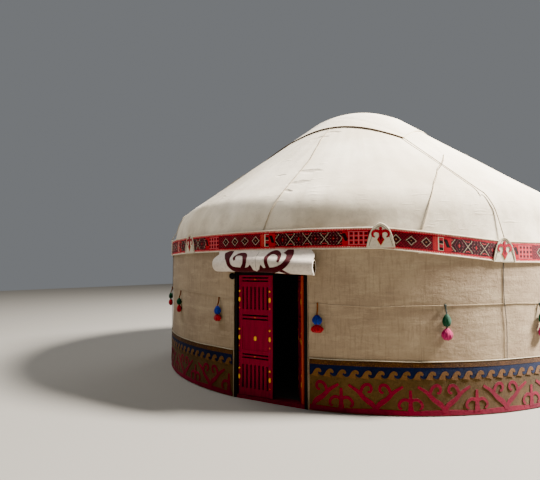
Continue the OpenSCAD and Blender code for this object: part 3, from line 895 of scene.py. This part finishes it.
wall_seam = grid("wall_seam", 360, 4, wall_seam_place, math.radians(WALL_TURN) * WALL_R, SEAM_W)
coated(smooth(thick(wall_seam, 0.003)), "wall_line")
shown(wall_seam, "tent", "wall_canvas")


# ---- Woven band ----

# How far the band hangs lower, by places that are counted in tabs
BAND_HANG = [(1, 0.0), (2, BAND_SAG), (5, BAND_SAG), (6, 0.0)]
BAND_START, BAND_JOIN, BAND_COLUMNS = -12.5, 190.5, 720
BAND_PERIOD = BAND_LAYOUT[-1][1]
BAND_RIPPLE, BAND_DIMPLE = 0.003, 0.0015
CORD_R, CORD_OFF = 0.0085, 0.004


def drop_at(azimuth):
    return level(BAND_HANG, ((azimuth - TAB_TURN) % 360) / TAB_STEP)


def band_section(azimuth):
    """The section's kind and where its pattern is counted from."""
    turn = ((azimuth - BAND_JOIN) % 360 + BAND_JOIN - 360 - BAND_START) % BAND_PERIOD
    return next((kind, start) for kind, end, start in BAND_LAYOUT if turn < end)


def band_ripple(azimuth):
    return BAND_RIPPLE * ruffle((azimuth * 0.16, 1.0, 0.0), 1.0, 4)


def band_place(u, v):
    azimuth = BAND_JOIN - 360 + 360 * u
    z = BAND_Z - drop_at(azimuth) + BAND_W * v + band_ripple(azimuth)
    return at(azimuth, BAND_R + BAND_T + BAND_DIMPLE * ruffle((azimuth * 0.3, v, 0), 1.0), z)


band = grid("band_weave", BAND_COLUMNS, 6, band_place, 2 * math.pi * BAND_R, BAND_W)
coated(band, *["band_" + kind for kind in BAND_KINDS])
uv = band.data.uv_layers.active.data
for face in band.data.polygons:
    middle = sum(uv[i].uv[0] for i in face.loop_indices) / len(face.loop_indices)
    azimuth = BAND_JOIN - 360 + middle / DEGREE_OF_BAND
    kind, start = band_section(azimuth)
    face.material_index = BAND_KINDS.index(kind)
    begin = azimuth - (azimuth - BAND_START) % BAND_PERIOD
    for i in face.loop_indices:
        along = BAND_JOIN - 360 + uv[i].uv[0] / DEGREE_OF_BAND - begin
        uv[i].uv[0] = (along - start) * DEGREE_OF_BAND
smooth(thick(band, BAND_T * 0.8))
shown(band, "tent", "band_weave", "woven_band")


def band_cord(up, count=480):
    """A cord round the band, at a height over its lower edge."""
    points = []
    for k in range(count):
        azimuth = BAND_JOIN - 360 + 360 * k / count
        z = BAND_Z - drop_at(azimuth) + up + band_ripple(azimuth)
        points.append(at(azimuth, BAND_R + BAND_T / 2, z))
    return coated(tube("cord", points, CORD_R, 6, closed=True), "cream_piping")


shown(joined("band_piping", [band_cord(BAND_W + CORD_OFF), band_cord(-CORD_OFF)]), "tent", "band_weave")


# ---- Small flat pieces of felt: a coloured face over a narrow outline ----

TRIM_H = 0.004


def trimmed(points, widths, count, face, rim, lift, side=1):
    """A strip of felt sewn on over a wider one that shows as its outline; side -1 mirrors it."""
    line = [(side * x, y) for x, y in points]
    under = coated(ribbon(line, [w + 2 * rim for w in widths], count, TRIM_H / 2, lift), "olive_line")
    return [under, coated(ribbon(line, widths, count, TRIM_H, lift), face)]


def diamond(y, w, h, height, paint):
    outline = [(-w / 2, y), (0, y - h / 2), (w / 2, y), (0, y + h / 2)]
    return coated(plate(outline, height, BAND_T), paint)


def disc(x, y, r, lift, height, paint, sides=10):
    outline = [(x + r * cos(360 * k / sides), y + r * sin(360 * k / sides)) for k in range(sides)]
    return coated(plate(outline, height, lift), paint)


# ---- Tabs along the eave ----

TAB_BACK = TAB_R + 0.0005
# The tab's outline: height over its foot and half its width
TAB_SIDE = [(0.0, 0.147), (0.04, 0.140), (0.09, 0.129), (0.14, 0.116), (0.18, 0.100), (0.21, 0.082),
            (0.235, 0.060), (0.252, 0.038), (0.262, 0.018), (TAB_H, 0.002)]


def tab_sheet():
    def place(u, v):
        z = TAB_H * (1 - (1 - v) ** 1.6)
        return Vector(((2 * u - 1) * level(TAB_SIDE, z), z, 0.0))

    sheet = grid("tab", 16, 18, place, TAB_W, TAB_H)
    for vertex in sheet.data.vertices:
        vertex.co.z = BAND_T * 0.9 + 0.0012 * ruffle(vertex.co, 9.0, 2)
    return coated(thick(sheet, BAND_T * 0.9), "tab_felt")


def tab_ornament():
    horn = [(0.0, 0.150), (0.018, 0.170), (0.045, 0.181), (0.074, 0.172), (0.086, 0.147), (0.079, 0.122),
            (0.059, 0.113)]
    wide = [0.022, 0.028, 0.030, 0.030, 0.026, 0.021, 0.011]
    pieces = []
    for side in (1, -1):
        pieces += trimmed(horn, wide, 14, "tab_red_felt", 0.0015, BAND_T, side)
    pieces.append(diamond(0.084, 0.081, 0.132, 0.003, "tab_gold_cord"))
    pieces.append(diamond(0.088, 0.073, 0.125, 0.0048, "tab_red_felt"))
    stem = [(0.0, 0.195), (0.0, 0.15), (0.0, 0.105)]
    pieces.append(coated(ribbon(stem, [0.028, 0.037, 0.037], 6, 0.0048, BAND_T), "tab_red_felt"))
    pieces.append(diamond(0.108, 0.022, 0.075, 0.0056, "maroon_felt"))
    pieces.append(disc(0, 0.207, 0.0175, BAND_T, 0.0048, "tab_red_felt"))
    return pieces


def tab_piping(out, inset, radius, paint):
    """A cord along the tab's edge, drawn in towards its middle."""
    left = [(-half, z) for z, half in TAB_SIDE[:-1]]
    edge = left + [(0.0, TAB_H)] + [(-x, z) for x, z in reversed(left)]
    middle = TAB_H * 0.45
    line = []
    for x, y in edge:
        far = math.dist((x, y), (0.0, middle))
        share = (far - inset) / far
        line.append(Vector((x * share, max(middle + (y - middle) * share, 0.0), out)))
    return coated(tube("cord", line, radius, 6), paint)


first_tab = tab_sheet()
first_trim = joined("tab_trim", [*tab_ornament(), tab_piping(BAND_T * 0.7, 0.004, 0.0075, "cream_piping"),
                                 tab_piping(BAND_T, 0.03, 0.0022, "dark_hem")])


def round_the_eave(name, first):
    """A copy of the piece at every tab's place."""
    copies = []
    for i in range(1, TAB_COUNT):
        azimuth = TAB_TURN + i * TAB_STEP
        tab = copied(first)
        for vertex in tab.data.vertices:
            vertex.co.y += BAND_Z - drop_at(azimuth)
        copies.append(wrapped(tab, azimuth, TAB_BACK))
    bpy.data.objects.remove(first)
    return smooth(joined(name, copies))


tabs = round_the_eave("tab_felts", first_tab)
shown(tabs, "tent", "tab_felt", "eave_tabs")
shown(round_the_eave("tab_ornament", first_trim), "tent", "tab_felt")


# ---- Skirt: felt with cut and sewn ornament ----

SKIRT_R = EAVE_R + BAND_T
SKIRT_FROM = HALF_DOOR + 0.35
SKIRT_TO = 360 - SKIRT_FROM
SKIRT_TURN = SKIRT_TO - SKIRT_FROM
SKIRT_L = SKIRT_TURN * math.radians(1) * SKIRT_R
MOTIF_TURN, FLOWER_AT, FORK_AT = 360 / 29, -3.7, 2.5
WAVE_TURN, WAVE_AT, WAVE_MID, WAVE_DEEP = 2.31, 10.45, 0.404, 0.019
SKIRT_RIPPLE = 0.0015
HEM_OFF, HEM_RIPPLE, HEM_STEPS = 0.003, 0.006, 360


def skirt_strip(name, heights, out, height, count, rows=2):
    """A strip round the skirt between two heights that may change along it."""

    def place(u, v):
        azimuth = SKIRT_FROM + SKIRT_TURN * u
        low, high = heights(azimuth)
        z = low + (high - low) * v
        return at(azimuth, SKIRT_R + out + SKIRT_RIPPLE * ruffle(at(azimuth, SKIRT_R, z), 3.0, 8), z)

    return smooth(thick(grid(name, count, rows, place, SKIRT_L, SKIRT_W), height))


def wave_height(azimuth):
    """The lower edge of the blue felt, which rises and dips with the waves."""
    part = ((azimuth - WAVE_AT) / WAVE_TURN) % 1.0
    return WAVE_MID - WAVE_DEEP * cos(360 * (part - 0.36))


def foot_height(azimuth):
    """The upper edge of the crimson foot, which rises under each ornament."""
    return 0.053 + 0.014 * abs(cos((azimuth - FLOWER_AT) * 180 / MOTIF_TURN))


skirt_ground = skirt_strip("skirt", lambda t: (SKIRT_Z, SKIRT_Z + SKIRT_W - 0.003), 0.0, 0.005, 480, 8)
blue_waves = skirt_strip("blue_waves", lambda t: (wave_height(t), 0.507), 0.0035, 0.004, 1520, 1)
brown_strip = skirt_strip("brown_strip", lambda t: (0.503, 0.549), 0.005, 0.005, 360)
foot_strip = skirt_strip("crimson_foot", lambda t: (0.012, foot_height(t)), 0.0035, 0.004, 900, 1)

curl = [(-0.024, 0.376), (-0.019, 0.404), (-0.009, 0.429), (0.008, 0.444), (0.028, 0.439), (0.039, 0.421)]
first_wave = coated(ribbon(curl, [0.085, 0.060, 0.050, 0.042, 0.037, 0.018], 14, 0.003, 0.0036), "tan_felt")
waves = []
for k in range(-4, int(360 / WAVE_TURN)):
    azimuth = WAVE_AT + WAVE_TURN * k
    if SKIRT_FROM + 1.0 < azimuth < SKIRT_TO - 1.0:
        waves.append(wrapped(copied(first_wave), azimuth, SKIRT_R))
bpy.data.objects.remove(first_wave)
layers = [coated(skirt_ground, "brown_felt"), coated(blue_waves, "blue_felt"),
          coated(brown_strip, "brown_strip"), coated(foot_strip, "crimson_felt"), joined("wave_curls", waves)]

ARM = [(0.0, 0.043), (0.033, 0.112), (0.116, 0.173), (0.182, 0.242), (0.281, 0.306)]
ARM_WIDE = [0.032, 0.057, 0.047, 0.038, 0.026]
SCROLL = [(0.157, 0.224), (0.144, 0.268), (0.124, 0.302), (0.090, 0.319), (0.057, 0.311), (0.042, 0.276),
          (0.057, 0.240), (0.082, 0.243)]
SCROLL_WIDE = [0.028, 0.033, 0.034, 0.034, 0.033, 0.031, 0.028, 0.022]
FORK_HORN = [(0.0, 0.15), (0.045, 0.173), (0.087, 0.164), (0.12, 0.125), (0.112, 0.082), (0.09, 0.085)]
FORK_WIDE = [0.031, 0.033, 0.033, 0.031, 0.028, 0.022]
FORK_STEM = [(0.0, 0.04), (0.0, 0.07), (0.0, 0.15), (0.0, 0.268)]
STEM_WIDE = [0.07, 0.045, 0.037, 0.030]


def cut_out(name, sides, parts, middle=()):
    """Ornament of mirrored parts, each with its line, widths and steps, and of parts in the middle."""
    pieces = []
    for side, shapes in [*[(side, parts) for side in sides], (1, middle)]:
        for points, widths, count in shapes:
            pieces += trimmed(points, widths, count, "crimson_felt", 0.0028, 0.001, side)
    return joined(name, pieces)


def flower(sides=(1, -1)):
    return cut_out("flower", sides, [(ARM, ARM_WIDE, 14), (SCROLL, SCROLL_WIDE, 18)])


def fork(sides=(1, -1)):
    return cut_out("fork", sides, [(FORK_HORN, FORK_WIDE, 14)], [(FORK_STEM, STEM_WIDE, 8)])


def repeated(make, start, half_turn, past=0.5, inset=0.6):
    """The same ornament all round, with half of it beside the door where the whole has no room."""
    whole = make()
    placed = []
    for k in range(-1, 31):
        azimuth = start + MOTIF_TURN * k
        if SKIRT_FROM + half_turn <= azimuth <= SKIRT_TO - half_turn:
            placed.append(wrapped(copied(whole), azimuth, SKIRT_R))
        elif SKIRT_FROM - past <= azimuth < SKIRT_FROM + half_turn:
            placed.append(wrapped(make((1,)), max(azimuth, SKIRT_FROM + inset), SKIRT_R))
        elif SKIRT_TO - half_turn < azimuth <= SKIRT_TO + past:
            placed.append(wrapped(make((-1,)), min(azimuth, SKIRT_TO - inset), SKIRT_R))
    bpy.data.objects.remove(whole)
    return placed


ornament = joined("skirt_ornament", repeated(flower, FLOWER_AT, 5.0) + repeated(fork, FORK_AT, 2.3))
skirt = joined("skirt_felt", layers)
shown(skirt, "tent", "skirt_cloth", "skirt")
shown(ornament, "tent", "skirt_cloth")

hem_line = []
for k in range(HEM_STEPS):
    azimuth = SKIRT_FROM + SKIRT_TURN * k / (HEM_STEPS - 1)
    z = SKIRT_Z + SKIRT_W + HEM_OFF + HEM_RIPPLE * ruffle((azimuth * 0.12, 0, 0), 1.0, 6)
    hem_line.append(at(azimuth, SKIRT_R + HEM_OFF, z))
shown(coated(tube("skirt_hem", hem_line, 0.0045, 6), "skirt_hem"), "tent", "skirt_cloth")


# ---- Door ----

MEET_X, HALF_GAP = 0.045, 0.004
LEAF_OPEN = 58
STILE_OUTER, STILE_INNER = 0.02, 0.039
MARK_HEIGHTS = (0.205, 0.670, 1.125)
DOT_HEIGHTS = (0.455, 0.915, 1.366)
PAINT_T, DOT_R = 0.0012, 0.011
PIPING_OFF, PIPING_R, PIPING_Z, PIPING_H = 0.008, 0.004, 0.01, 1.62


def leaf_frame(side):
    """The width from the turning axis, and the way from the leaf's own lines to its place in the tent."""
    wide = PIN_X - side * MEET_X - HALF_GAP
    turn = 0 if side < 0 else -LEAF_OPEN

    def put(point):
        x, y, z = -side * point[0], point[1], point[2]
        return Vector((side * PIN_X + x * cos(turn) - y * sin(turn), LEAF_Y + x * sin(turn) + y * cos(turn),
                       LEAF_Z + z))

    return wide, put


def oblong(x, y, w, h, lift=0.0):
    """A painted spot with rounded ends."""
    outline = []
    for k in range(16):
        a, b = [math.copysign(abs(part) ** 0.7, part) for part in (cos(22.5 * k), sin(22.5 * k))]
        outline.append((x + w / 2 * a, y + h / 2 * b))
    return coated(plate(outline, PAINT_T, lift), "door_gold_paint")


def painted(name, side):
    """Long spots and dots on a leaf's front, in its own lines: x from the axis, y up."""
    wide, put = leaf_frame(side)
    edge = -LEAF_T / 2
    middle = (wide + edge) / 2
    pieces = []
    for x in (edge + STILE_OUTER, wide - STILE_INNER):
        for y in MARK_HEIGHTS:
            pieces.append(oblong(x, y, 0.024, 0.054))
            pieces.append(disc(x, y - 0.1, DOT_R, 0, PAINT_T, "door_orange_paint", 8))
            pieces.append(disc(x, y + 0.1, DOT_R, 0, PAINT_T, "door_gold_paint", 8))
            for off in (-0.16, 0.16):
                pieces.append(disc(x, y + off, 0.009, 0, 0.001, "door_violet_paint", 8))
    for y in DOT_HEIGHTS:
        pieces.append(disc(middle, y, DOT_R, 0, PAINT_T, "door_orange_paint", 8))
    pieces.append(oblong(middle, 0.668, 0.033, 0.05, -0.006))
    marks = joined(name, pieces)
    for vertex in marks.data.vertices:
        x, y, out = vertex.co
        vertex.co = put((x, -LEAF_T / 2 - out, y))
    if side < 0:
        marks.data.flip_normals()
    return sealed(marks)


def slab(name, low, high, put, bevel):
    """A thin board between two corners, in a leaf's own lines."""
    bpy.ops.object.select_all(action="DESELECT")
    bpy.ops.mesh.primitive_cube_add(size=1)
    obj = bpy.context.object
    obj.name = obj.data.name = name
    for vertex in obj.data.vertices:
        vertex.co = put([low[i] + (high[i] - low[i]) * (vertex.co[i] + 0.5) for i in range(3)])
    return modified(sealed(obj), "BEVEL", width=bevel, segments=2)


for side, body in ((-1, "left_leaf"), (1, "right_leaf")):
    shown(painted(f"{body}_paint", side), body, "door_paint")
    wide, put = leaf_frame(side)
    low, high = (wide, -LEAF_T / 2 + 0.002, 0.004), (wide + 0.0015, LEAF_T / 2 - 0.002, LEAF_H - 0.004)
    shown(coated(slab(f"{body}_edge", low, high, put, 0.0004), "door_recess"), body, "door_paint")


def door_piping(side, steps=24):
    x = side * (DOOR_W / 2 + PIPING_OFF)
    y = -math.sqrt(WALL_R**2 - x**2) - PIPING_R
    points = [Vector((x, y, k * PIPING_H / steps + PIPING_Z)) for k in range(steps + 1)]
    for point in points:
        point.x += side * 0.003 * ruffle(point, 3.0, side + 4)
    return coated(tube("cord", points, PIPING_R), "wall_line")


shown(joined("door_piping", [door_piping(-1), door_piping(1)]), "tent", "wall_canvas")

# The lintel's rounded black end beside the left post
END_R, END_X, END_Z, END_STEP, END_FLAT = 0.04, -0.480, 1.452, 0.0126, 0.35
END_Y = -math.sqrt(WALL_R**2 - 0.53**2) - 0.004
END_ROUND = (1, 1, 1, 1, 0.99, 0.94, 0.82, 0.5)
end_line = [Vector((END_X - END_STEP * k, END_Y, END_Z)) for k in range(len(END_ROUND))]
beam_end = tube("lintel_end", end_line, END_R, 12, radii=[END_R * share for share in END_ROUND])
for vertex in beam_end.data.vertices:
    vertex.co.y = END_Y + (vertex.co.y - END_Y) * END_FLAT
shown(coated(beam_end, "frame_paint"), "tent", "frame_paint")


# ---- The rolled door flap ----

ROLL_R = 0.095
ROLL_Z = WALL_H - 0.22
ROLL_MID = TAB_R + LAY_GAP + ROLL_R
ROLL_FROM, ROLL_TO = -11.5, 10.5
ROLL_L = math.radians(ROLL_TO - ROLL_FROM) * ROLL_MID
FLAP_FROM, FLAP_TO = -12.9, 9.6
FLAP_T = 0.011
FLAP_TOP = (BAND_R, BAND_Z - 0.002)
FLAP_MEET = 50
ROLL_RIPPLE = 0.003


def roll_outline(turns=1.75, steps=46, wound_in=0.016):
    """The flap's line from the band down over the front of the roll and wound inwards."""
    points = [FLAP_TOP]
    meet = (ROLL_MID + ROLL_R * cos(FLAP_MEET), ROLL_Z + ROLL_R * sin(FLAP_MEET))
    for k in range(1, 6):
        points.append(tuple(a + (b - a) * k / 6 for a, b in zip(FLAP_TOP, meet)))
    for k in range(steps + 1):
        angle = FLAP_MEET - 360 * turns * k / steps
        r = ROLL_R - wound_in * turns * k / steps
        points.append((ROLL_MID + r * cos(angle), ROLL_Z + r * sin(angle)))
    return Line(points)


ROLL_LINE = roll_outline()


def roll_sag(azimuth):
    """The roll hangs lower towards its right end."""
    share = (azimuth - ROLL_FROM) / (ROLL_TO - ROLL_FROM)
    return 0.017 - 0.010 * share if share < 0.5 else 0.012 - 0.068 * (share - 0.5)


def roll_point(share, azimuth, out=0.0):
    r, z = ROLL_LINE.point(share)
    ahead = ROLL_LINE.out(share)
    away = (-ahead[0], -ahead[1])
    down = min(1.0, share * 6)
    lift = out + ROLL_RIPPLE * ruffle((azimuth * 0.3, share * 9, 0.0), 1.0, 11) * down
    return at(azimuth, r + away[0] * lift, z + away[1] * lift + roll_sag(azimuth) * down)


def roll_place(u, v):
    part = min(v / 0.10, 1.0)
    part = part * part * (3 - 2 * part)
    low = FLAP_FROM + (ROLL_FROM - FLAP_FROM) * part
    high = FLAP_TO + (ROLL_TO - FLAP_TO) * part
    return roll_point(v, low + (high - low) * u)


roll = grid("rolled_flap", 54, 110, roll_place, ROLL_L, ROLL_LINE.length)
roll.data.flip_normals()
coated(roll, "white_felt", "brown_felt")
modified(roll, "SOLIDIFY", thickness=FLAP_T, offset=-1.0, use_even_offset=False, material_offset=1)
smooth(roll, 50)
shown(roll, "tent", "flap_felt", "door_roll")

# The front of the roll from the band to its underside, walked by height
shares = [k / 400 for k in range(400)]
heights = [ROLL_LINE.point(share)[1] for share in shares]
FRONT_SHARE = next(share for share, z, after in zip(shares, heights, heights[1:]) if after > z)
FRONT_HIGH = FLAP_TOP[1]
FRONT_LOW = ROLL_LINE.point(FRONT_SHARE)[1]


def front_share(z):
    low, high = 0.0, FRONT_SHARE
    for _ in range(24):
        mid = (low + high) / 2
        if ROLL_LINE.point(mid)[1] > z:
            low = mid
        else:
            high = mid
    return (low + high) / 2


def laid_on_roll(obj):
    """Lays a flat piece, x along the roll and y its height, on the roll's front."""
    for vertex in obj.data.vertices:
        x, y, out = vertex.co
        azimuth = ROLL_FROM + x / (math.radians(1) * ROLL_MID)
        vertex.co = roll_point(front_share(max(min(y, FRONT_HIGH), FRONT_LOW + 0.0005)), azimuth, out)
    return obj


HORNS = [
    # points from the roll's left end, and the width on the way
    ([(0.131, 1.763), (0.163, 1.721), (0.203, 1.683), (0.243, 1.637), (0.266, 1.592), (0.293, 1.553),
      (0.338, 1.524), (0.42, 1.514), (0.516, 1.512), (0.59, 1.502), (0.632, 1.493)],
     [0.12, 0.09, 0.068, 0.052, 0.050, 0.058, 0.062, 0.058, 0.058, 0.044, 0.014]),
    ([(0.453, 1.523), (0.492, 1.567), (0.499, 1.609), (0.484, 1.651), (0.438, 1.692), (0.38, 1.705),
      (0.337, 1.70), (0.322, 1.675), (0.333, 1.65), (0.351, 1.626)],
     [0.045, 0.048, 0.050, 0.049, 0.046, 0.043, 0.040, 0.037, 0.032, 0.022]),
    ([(0.978, 1.762), (1.02, 1.724), (1.038, 1.681), (1.035, 1.639), (1.008, 1.596), (0.96, 1.559),
      (0.884, 1.530), (0.807, 1.519), (0.738, 1.513), (0.681, 1.501), (0.642, 1.493)],
     [0.11, 0.080, 0.070, 0.063, 0.058, 0.056, 0.058, 0.060, 0.058, 0.046, 0.014]),
    ([(0.93, 1.535), (0.975, 1.519), (1.01, 1.504), (1.04, 1.492), (1.08, 1.486)],
     [0.037, 0.032, 0.024, 0.014, 0.004]),
    ([(0.808, 1.535), (0.790, 1.582), (0.776, 1.623), (0.768, 1.67), (0.778, 1.707), (0.812, 1.727),
      (0.857, 1.722), (0.903, 1.696), (0.925, 1.662), (0.927, 1.636), (0.918, 1.615)],
     [0.050, 0.043, 0.042, 0.045, 0.048, 0.047, 0.047, 0.044, 0.038, 0.032, 0.022]),
    ([(0.553, 1.503), (0.571, 1.537), (0.577, 1.574)], [0.125, 0.066, 0.005]),
    ([(0.727, 1.510), (0.723, 1.542), (0.719, 1.577)], [0.092, 0.048, 0.005]),
]
horns = [coated(ribbon(points, widths, 30, 0.003, 0.001, 5), "maroon_felt") for points, widths in HORNS]
base_line = [(0.30, 1.487), (0.44, 1.486), (0.60, 1.485), (0.80, 1.486), (1.03, 1.487)]
horns.append(coated(ribbon(base_line, [0.005, 0.006, 0.006, 0.006, 0.005], 24, 0.003, 0.001), "orange_cord"))
seam_line = [(0.608, 1.735), (0.625, 1.68), (0.648, 1.60), (0.650, 1.521)]
horns.append(coated(ribbon(seam_line, [0.003, 0.003], 14, 0.0015, 0.0005), "dark_hem"))
shown(smooth(laid_on_roll(joined("roll_ornament", horns)), 50), "tent", "flap_felt")


# ---- Ropes ----

ROPE_R, KNOT_R, ROPE_GAP = 0.006, 0.009, 0.004
THIN_ROPE_R, THIN_KNOT_R = 0.004, 0.006
ROPE_TABS = (2, 6, 9, 13)
ROPE_SHARES = (0, 0.6, 0.75, 0.85, 0.95, 1)


def roof_rope_points(corner_turn, tab):
    azimuth = TAB_TURN + tab * TAB_STEP
    far = COVER_HALF * math.sqrt(2)
    n = (sin(ROOF_SLOPE), cos(ROOF_SLOPE))
    corner = (far, RING_TOP[1] - (far - RING_TOP[0]) * tan(ROOF_SLOPE))
    out = KNOT_R + ROPE_GAP
    on = KNOT_R + LAY_GAP
    start = (corner[0] + out * n[0] + on, corner[1] + out * n[1] - on * tan(ROOF_SLOPE))
    rise = BEND_R + FELT + KNOT_R + ROPE_GAP
    third = (FOOT_SLOPE - ROOF_SLOPE) / 3
    top = (TAB_R + BAND_T / 2, BAND_Z + TAB_H - drop_at(azimuth) + KNOT_R + LAY_GAP)
    line = [start] + [bend_point(ROOF_SLOPE + third * k, rise) for k in range(4)] + [top]
    return [at(corner_turn + (azimuth - corner_turn) * s, *p) for s, p in zip(ROPE_SHARES, line)]


def wall_rope_points(tab):
    azimuth = TAB_TURN + tab * TAB_STEP
    side = EAVE_R + THIN_KNOT_R
    top = BAND_Z - drop_at(azimuth) + THIN_KNOT_R
    low = SKIRT_Z + SKIRT_W + THIN_KNOT_R + LAY_GAP
    return [at(azimuth + sway, side, top + (low - top) * k / 3) for k, sway in enumerate((0, -0.2, 0.2, 0))]


def knot(place, radius, paint):
    """A small wrapped knot: three turns of cord round a ball."""
    bpy.ops.object.select_all(action="DESELECT")
    bpy.ops.mesh.primitive_uv_sphere_add(segments=12, ring_count=8, radius=radius, location=place)
    ball = bpy.context.object
    bpy.ops.object.transform_apply(location=True, rotation=True, scale=True)
    for vertex in ball.data.vertices:
        off = vertex.co - place
        vertex.co = place + off * (1 + 0.14 * math.sin(5 * off.z / radius * 2 + 3 * off.x / radius))
    return coated(ball, paint)


def rope(points, count, radius, sides, knot_r, paint):
    """A rope along a smooth line, with a knot at both ends."""
    cord = coated(tube("rope", curve_points(points, count), radius, sides), paint)
    return [cord, knot(points[0], knot_r, paint), knot(points[-1], knot_r, paint)]


rope_pieces = []
for k, tab in enumerate(ROPE_TABS):
    rope_pieces += rope(roof_rope_points(COVER_TURN + 90 * k, tab), 60, ROPE_R, 8, KNOT_R, "roof_rope")
    rope_pieces += rope(wall_rope_points(tab), 30, THIN_ROPE_R, 6, THIN_KNOT_R, "dark_rope")
shown(joined("roof_and_wall_ropes", rope_pieces), "tent", "rope", "roof_ropes")


# ---- Tassels ----

TASSEL_CORD, TUFT_OUT = 0.009, 0.034
TASSEL_STEP, TASSEL_Z = 21.4, 1.143
# Azimuth and height of the knot, length of the cord, the yarns of the cord and of the upper and lower tuft,
# and the height and width of both tufts
SEEN_TASSELS = [
    (-47, 1.246, 0.09, "cord_yarn", "green_yarn", "crimson_yarn", (0.095, 0.080), (0.100, 0.092)),
    (-32, 1.221, 0.10, "cord_yarn", "green_yarn", "crimson_yarn", (0.093, 0.078), (0.100, 0.090)),
    (-13.2, 1.177, 0.10, "cord_yarn", "blue_yarn", "crimson_yarn", (0.100, 0.094), (0.080, 0.124)),
    (10.6, 1.160, 0.126, "cord_yarn", "blue_yarn", "crimson_yarn", (0.100, 0.108), (0.083, 0.134)),
    (34.1, 1.149, 0.09, "dark_cord_yarn", "green_yarn", "pink_yarn", (0.125, 0.090), (0.120, 0.118)),
    (55.5, 1.143, 0.09, "dark_cord_yarn", "green_yarn", "pink_yarn", (0.125, 0.090), (0.120, 0.118)),
]
TASSELS = SEEN_TASSELS + [(77 + TASSEL_STEP * k, TASSEL_Z, *SEEN_TASSELS[k % 6][2:]) for k in range(11)]


def tuft(low, high, radius, seed, rows=12, around=28):
    """A bell of yarn: tied at the top, full and uneven at the bottom, flat against the wall."""

    def place(u, v):
        turn = 2 * math.pi * (round(u * around) % around) / around
        wide = radius * (0.2 + 0.82 * sin(180 * min(1.0, 0.05 + 0.8 * (1 - v))))
        if v < 0.06:
            wide *= 0.90 if v > 0.001 else 0.35
        strand = 1 + 0.10 * math.sin(9 * turn + seed) * (1 - v) + 0.05 * math.sin(17 * turn + 2 * seed)
        x = math.cos(turn) * wide * strand
        y = math.sin(turn) * wide * strand * TUFT_OUT / radius * 0.95
        sag = 0.006 * math.sin(5 * turn + seed) * (1 - v)
        return Vector((x, low + (high - low) * v + sag, y + TUFT_OUT))

    return smooth(sealed(grid("tuft", around, rows, place, 2 * math.pi * radius, high - low), 1e-5, True), 60)


def tassel(k, azimuth, top, cord, cord_yarn, upper_yarn, lower_yarn, upper, lower):
    thick_knot = cord_yarn == "dark_cord_yarn"
    gap = 0.022 if thick_knot else 0.006
    tied = top - cord
    foot = tied - upper[0]
    pieces = [coated(tuft(foot - gap - lower[0], foot - gap, lower[1] / 2, k), lower_yarn),
              coated(tuft(foot, tied, upper[1] / 2, k + 3), upper_yarn)]
    line = [(0, top, 0.010), (0.002, top - cord * 0.5, TUFT_OUT * 0.55), (0, tied, TUFT_OUT),
            (0, foot, TUFT_OUT), (0, foot - gap - 0.02, TUFT_OUT)]
    pieces.append(coated(tube("cord", curve_points(line, 14), TASSEL_CORD, 6), cord_yarn))
    pieces.append(knot(Vector((0, top, 0.011)), 0.014 if thick_knot else 0.010, cord_yarn))
    return wrapped(joined("tassel", pieces), azimuth, WALL_R)


tassels = joined("wool_tassels", [tassel(k, *sizes) for k, sizes in enumerate(TASSELS)])
shown(tassels, "tent", "tassel_wool", "tassels")


# ---- The frame's own wood keeps its shape and gets its paint ----

WOODS = {"crown_ring": "crown_wood", "crown_bars": "crown_wood", "roof_poles": "red_wood",
         "lattice": "red_wood", "door_post": "frame_paint", "door_lintel": "frame_paint",
         "door_threshold": "threshold_paint", "left_door_leaf": "door_paint",
         "right_door_leaf": "right_door_paint"}
for name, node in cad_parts.items():
    for start, paint in WOODS.items():
        if name.startswith(start):
            coated(node, paint)
